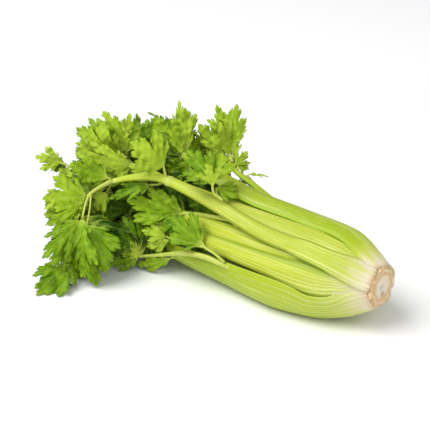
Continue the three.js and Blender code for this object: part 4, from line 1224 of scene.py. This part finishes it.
# The cut face from its middle out: [share of the radius, how far it stands out].
CROWN_FACE = [
    (0, -0.9), (0.3, -0.8), (0.52, -0.75), (0.62, -0.2), (0.7, 0.1), (0.78, -0.25), (0.85, -0.1),
    (0.92, 0.1), (0.97, -0.15),
]
CROWN_SIDES = [(1.0, -0.9), (1.0, -1.6), (0.96, -4.0), (0.86, -CROWN_DEPTH)]  # and on in under the stalks
FACE_RINGS = 40
RIM_INSET = 0.4  # how far the rim lies inside CROWN_RADIUS
RIM_RAGGED = 0.35  # how far it wanders over its short waves, in mm
CRUMBLED_TO = 0.98  # the share of the radius where crumbs and grain end
FACE_GRAIN = 0.05  # how rough the cut is, in mm
RING_WANDER = 0.03  # how far the face's coloured rings stray from round
CROWN_SPOT = (188, 0.42, 3.0)  # a brown mark: turn, share of the radius, and its size in mm


def round_waves(turn, rng, lowest, highest, count):
    """A smooth random height round a circle, about -1 to 1."""
    height = 0 * turn
    for number in rng.integers(lowest, highest + 1, count):
        height = height + np.sin(turn * number + rng.uniform(0, 2 * math.pi))
    return height / math.sqrt(count)


def crumbs(turn, shares, rng):
    """Small lumps over the cut face: a random height for each ring and turn."""
    rows = np.array([round_waves(turn, rng, 20, 60, 5) for _ in shares])
    rows[1:-1] = (rows[:-2] + 2 * rows[1:-1] + rows[2:]) / 2.4
    return rows * smoothstep(0.5, 0.75, shares)[:, None] * (shares < CRUMBLED_TO)[:, None]


def make_crown():
    """The cut end of the core, with a crumbled rim and its sides going in under the stalks."""
    rng = np.random.default_rng(7)
    turn = np.linspace(0, 360, CROWN_STEPS, endpoint=False)
    angle = np.radians(turn)
    rim = CROWN_RADIUS - RIM_INSET + CROWN_LOBES * round_waves(angle, rng, 3, 9, 4)
    rim += RIM_RAGGED * round_waves(angle, rng, 24, 50, 5)
    side_shares, side_outs = zip(*CROWN_SIDES)
    shares = np.concatenate([np.linspace(0.04, 0.97, FACE_RINGS), side_shares])
    outs = np.concatenate([np.interp(shares[:FACE_RINGS], *zip(*CROWN_FACE)), side_outs])
    ring = shares[:, None] * np.ones(CROWN_STEPS)[None, :]
    ring[:FACE_RINGS] += RING_WANDER * round_waves(angle, rng, 4, 12, 4)[None, :] * shares[:FACE_RINGS, None]
    ring[FACE_RINGS:] = 0.9
    radius = shares[:, None] * rim[None, :]
    out = outs[:, None] + CROWN_CRUMBS * crumbs(angle, shares, rng)
    out += rng.normal(0, FACE_GRAIN, (len(shares), CROWN_STEPS)) * (shares < CRUMBLED_TO)[:, None]
    grid = on_head(-out, turn[None, :] + 0 * out, radius)
    ends = on_head(np.array([-CROWN_FACE[0][1], CROWN_DEPTH]), np.zeros(2), np.zeros(2))
    points = np.concatenate([grid.reshape(-1, 3), ends])
    faces = closed_tube(len(shares), CROWN_STEPS)
    spot_turn, spot_share, spot_size = CROWN_SPOT
    spot = on_head(0.0, spot_turn, spot_share * CROWN_RADIUS)
    gap = np.linalg.norm((points - spot)[:, 1:], axis=1)
    values = {
        "ring": np.concatenate([ring.ravel(), [0, 1]]),
        "spot": np.exp(-(gap / spot_size) ** 2),
    }
    return mesh_piece("crown", points, faces, [crown_looks()], values)


# ---- the stage -----------------------------------------------------------------------
FLOOR_REACH = 6.0  # metres either way
WORLD_STRENGTH = 0.42
# Each light: its place and its size, in metres, and its power in watts.
LIGHTS = {"key": ((-1.2, -1.8, 3.2), 3.0, 150), "fill": ((2.4, -1.2, 1.8), 2.8, 28)}


def make_floor():
    """A plain pale floor that the head lies on."""
    size = FLOOR_REACH
    mesh = bpy.data.meshes.new("floor")
    corners = [(-size, -size, 0), (size, -size, 0), (size, size, 0), (-size, size, 0)]
    mesh.from_pydata(corners, [], [(0, 1, 2, 3)])
    look = Looks("pale_floor")
    grain = look.noise(3.0, 2.0, 0.5, look.place())
    shade = look.mix(grain, (0.94, 0.94, 0.94, 1), (0.96, 0.96, 0.96, 1))
    shader = look.node("ShaderNodeBsdfPrincipled", {"Base Color": shade, "Roughness": 0.9})
    mesh.materials.append(look.finish(shader.outputs[0]))
    floor = bpy.data.objects.new("floor", mesh)
    bpy.context.scene.collection.objects.link(floor)


def make_light(name, place, size, power):
    """A soft square light that looks at the middle of the head."""
    data = bpy.data.lights.new(name, "AREA")
    data.shape = "SQUARE"
    data.size = size
    data.energy = power
    light = bpy.data.objects.new(name, data)
    light.location = place
    aim = Vector((0, 0, 0.05)) - light.location
    light.rotation_euler = aim.to_track_quat("-Z", "Y").to_euler()
    bpy.context.scene.collection.objects.link(light)


def make_world(strength):
    world = bpy.data.worlds.new("soft_white")
    world.use_nodes = True
    world.node_tree.nodes["Background"].inputs["Color"].default_value = (1, 1, 1, 1)
    world.node_tree.nodes["Background"].inputs["Strength"].default_value = strength
    bpy.context.scene.world = world


def make_camera():
    turn = math.radians(CAMERA_AZIMUTH)
    rise = math.radians(CAMERA_ELEVATION)
    back = np.array([math.sin(turn) * math.cos(rise), -math.cos(turn) * math.cos(rise), math.sin(rise)])
    aim = to_room(AIM)
    data = bpy.data.cameras.new("camera")
    data.lens = LENS
    data.sensor_width = SENSOR
    data.sensor_fit = "HORIZONTAL"
    camera = bpy.data.objects.new("camera", data)
    camera.location = aim + back * CAMERA_DISTANCE * MM
    camera.rotation_euler = Vector(-back).to_track_quat("-Z", "Y").to_euler()
    bpy.context.scene.collection.objects.link(camera)
    bpy.context.scene.camera = camera


# ---- the head ------------------------------------------------------------------------
# Colours up a stalk, as (share of STALK_LENGTH, colour).
PALE_BANDS = [
    (0.0, "#e0d4be"), (0.018, "#dfd6b4"), (0.04, "#d2d18c"), (0.07, "#c3ca5e"), (0.14, "#bfca42"),
    (0.25, "#b9c436"), (0.5, "#c0c848"), (0.72, "#c8d640"), (0.87, "#c4d632"), (1.0, "#b4cc2a"),
]
LOW_BANDS = [
    (0.0, "#dacdb8"), (0.022, "#d6ccaa"), (0.046, "#cbcb84"), (0.08, "#bdc658"), (0.16, "#b6c53c"),
    (0.3, "#adbe20"), (0.45, "#a2b60e"), (1.0, "#8eac04"),
]
INNER_BANDS = [
    (0.0, "#e0d4be"), (0.04, "#ded6b4"), (0.08, "#d3d392"), (0.12, "#c8ce60"), (0.2, "#c2cb40"),
    (0.5, "#c2ca3a"), (0.72, "#bcd028"), (1.0, "#aec62a"),
]
GREEN_BANDS = [
    (0.0, "#e0d4be"), (0.025, "#ddd4aa"), (0.05, "#c6cd5c"), (0.09, "#afc320"), (0.25, "#9fb208"),
    (0.6, "#9eb010"), (1.0, "#98b01e"),
]


def make_stalks():
    # Each look's fourth colour is the painted shade at a stalk's edges.
    pale = stalk_looks("pale_stalk", PALE_BANDS, "#99ae14", "#8ea41a", "#a4b838")
    inner = stalk_looks("inner_stalk", INNER_BANDS, "#94aa10", "#7c960c", "#a4b838", (8, 26), 0.6)
    low = stalk_looks("low_stalk", LOW_BANDS, "#8ea80c", "#a4b81c", "#b0c24c")
    green = stalk_looks("green_stalk", GREEN_BANDS, "#8aab04", "#98b606", "#8fae10")
    looks = {
        "stalk_near_low": low, "stalk_under": low,
        "stalk_inner_near": inner, "stalk_third_near": inner,
        "stalk_top": green, "stalk_far": green, "stalk_inner_far_high": green,
    }
    for seed, (name, rows) in enumerate(STALKS.items()):
        make_stalk(name, rows, looks.get(name, pale), seed)


FIRST_SPRAY_SEED = 100


def make_sprays():
    looks = [leaf_looks(), stem_looks()]
    for seed, (name, (stems, leaflets)) in enumerate(SPRAYS.items(), FIRST_SPRAY_SEED):
        make_spray(name, stems, leaflets, looks, seed)


make_camera()
make_world(WORLD_STRENGTH)
for name, light in LIGHTS.items():
    make_light(name, *light)
make_floor()
make_stalks()
make_crown()
make_sprays()
bpy.context.scene.view_settings.view_transform = "Standard"
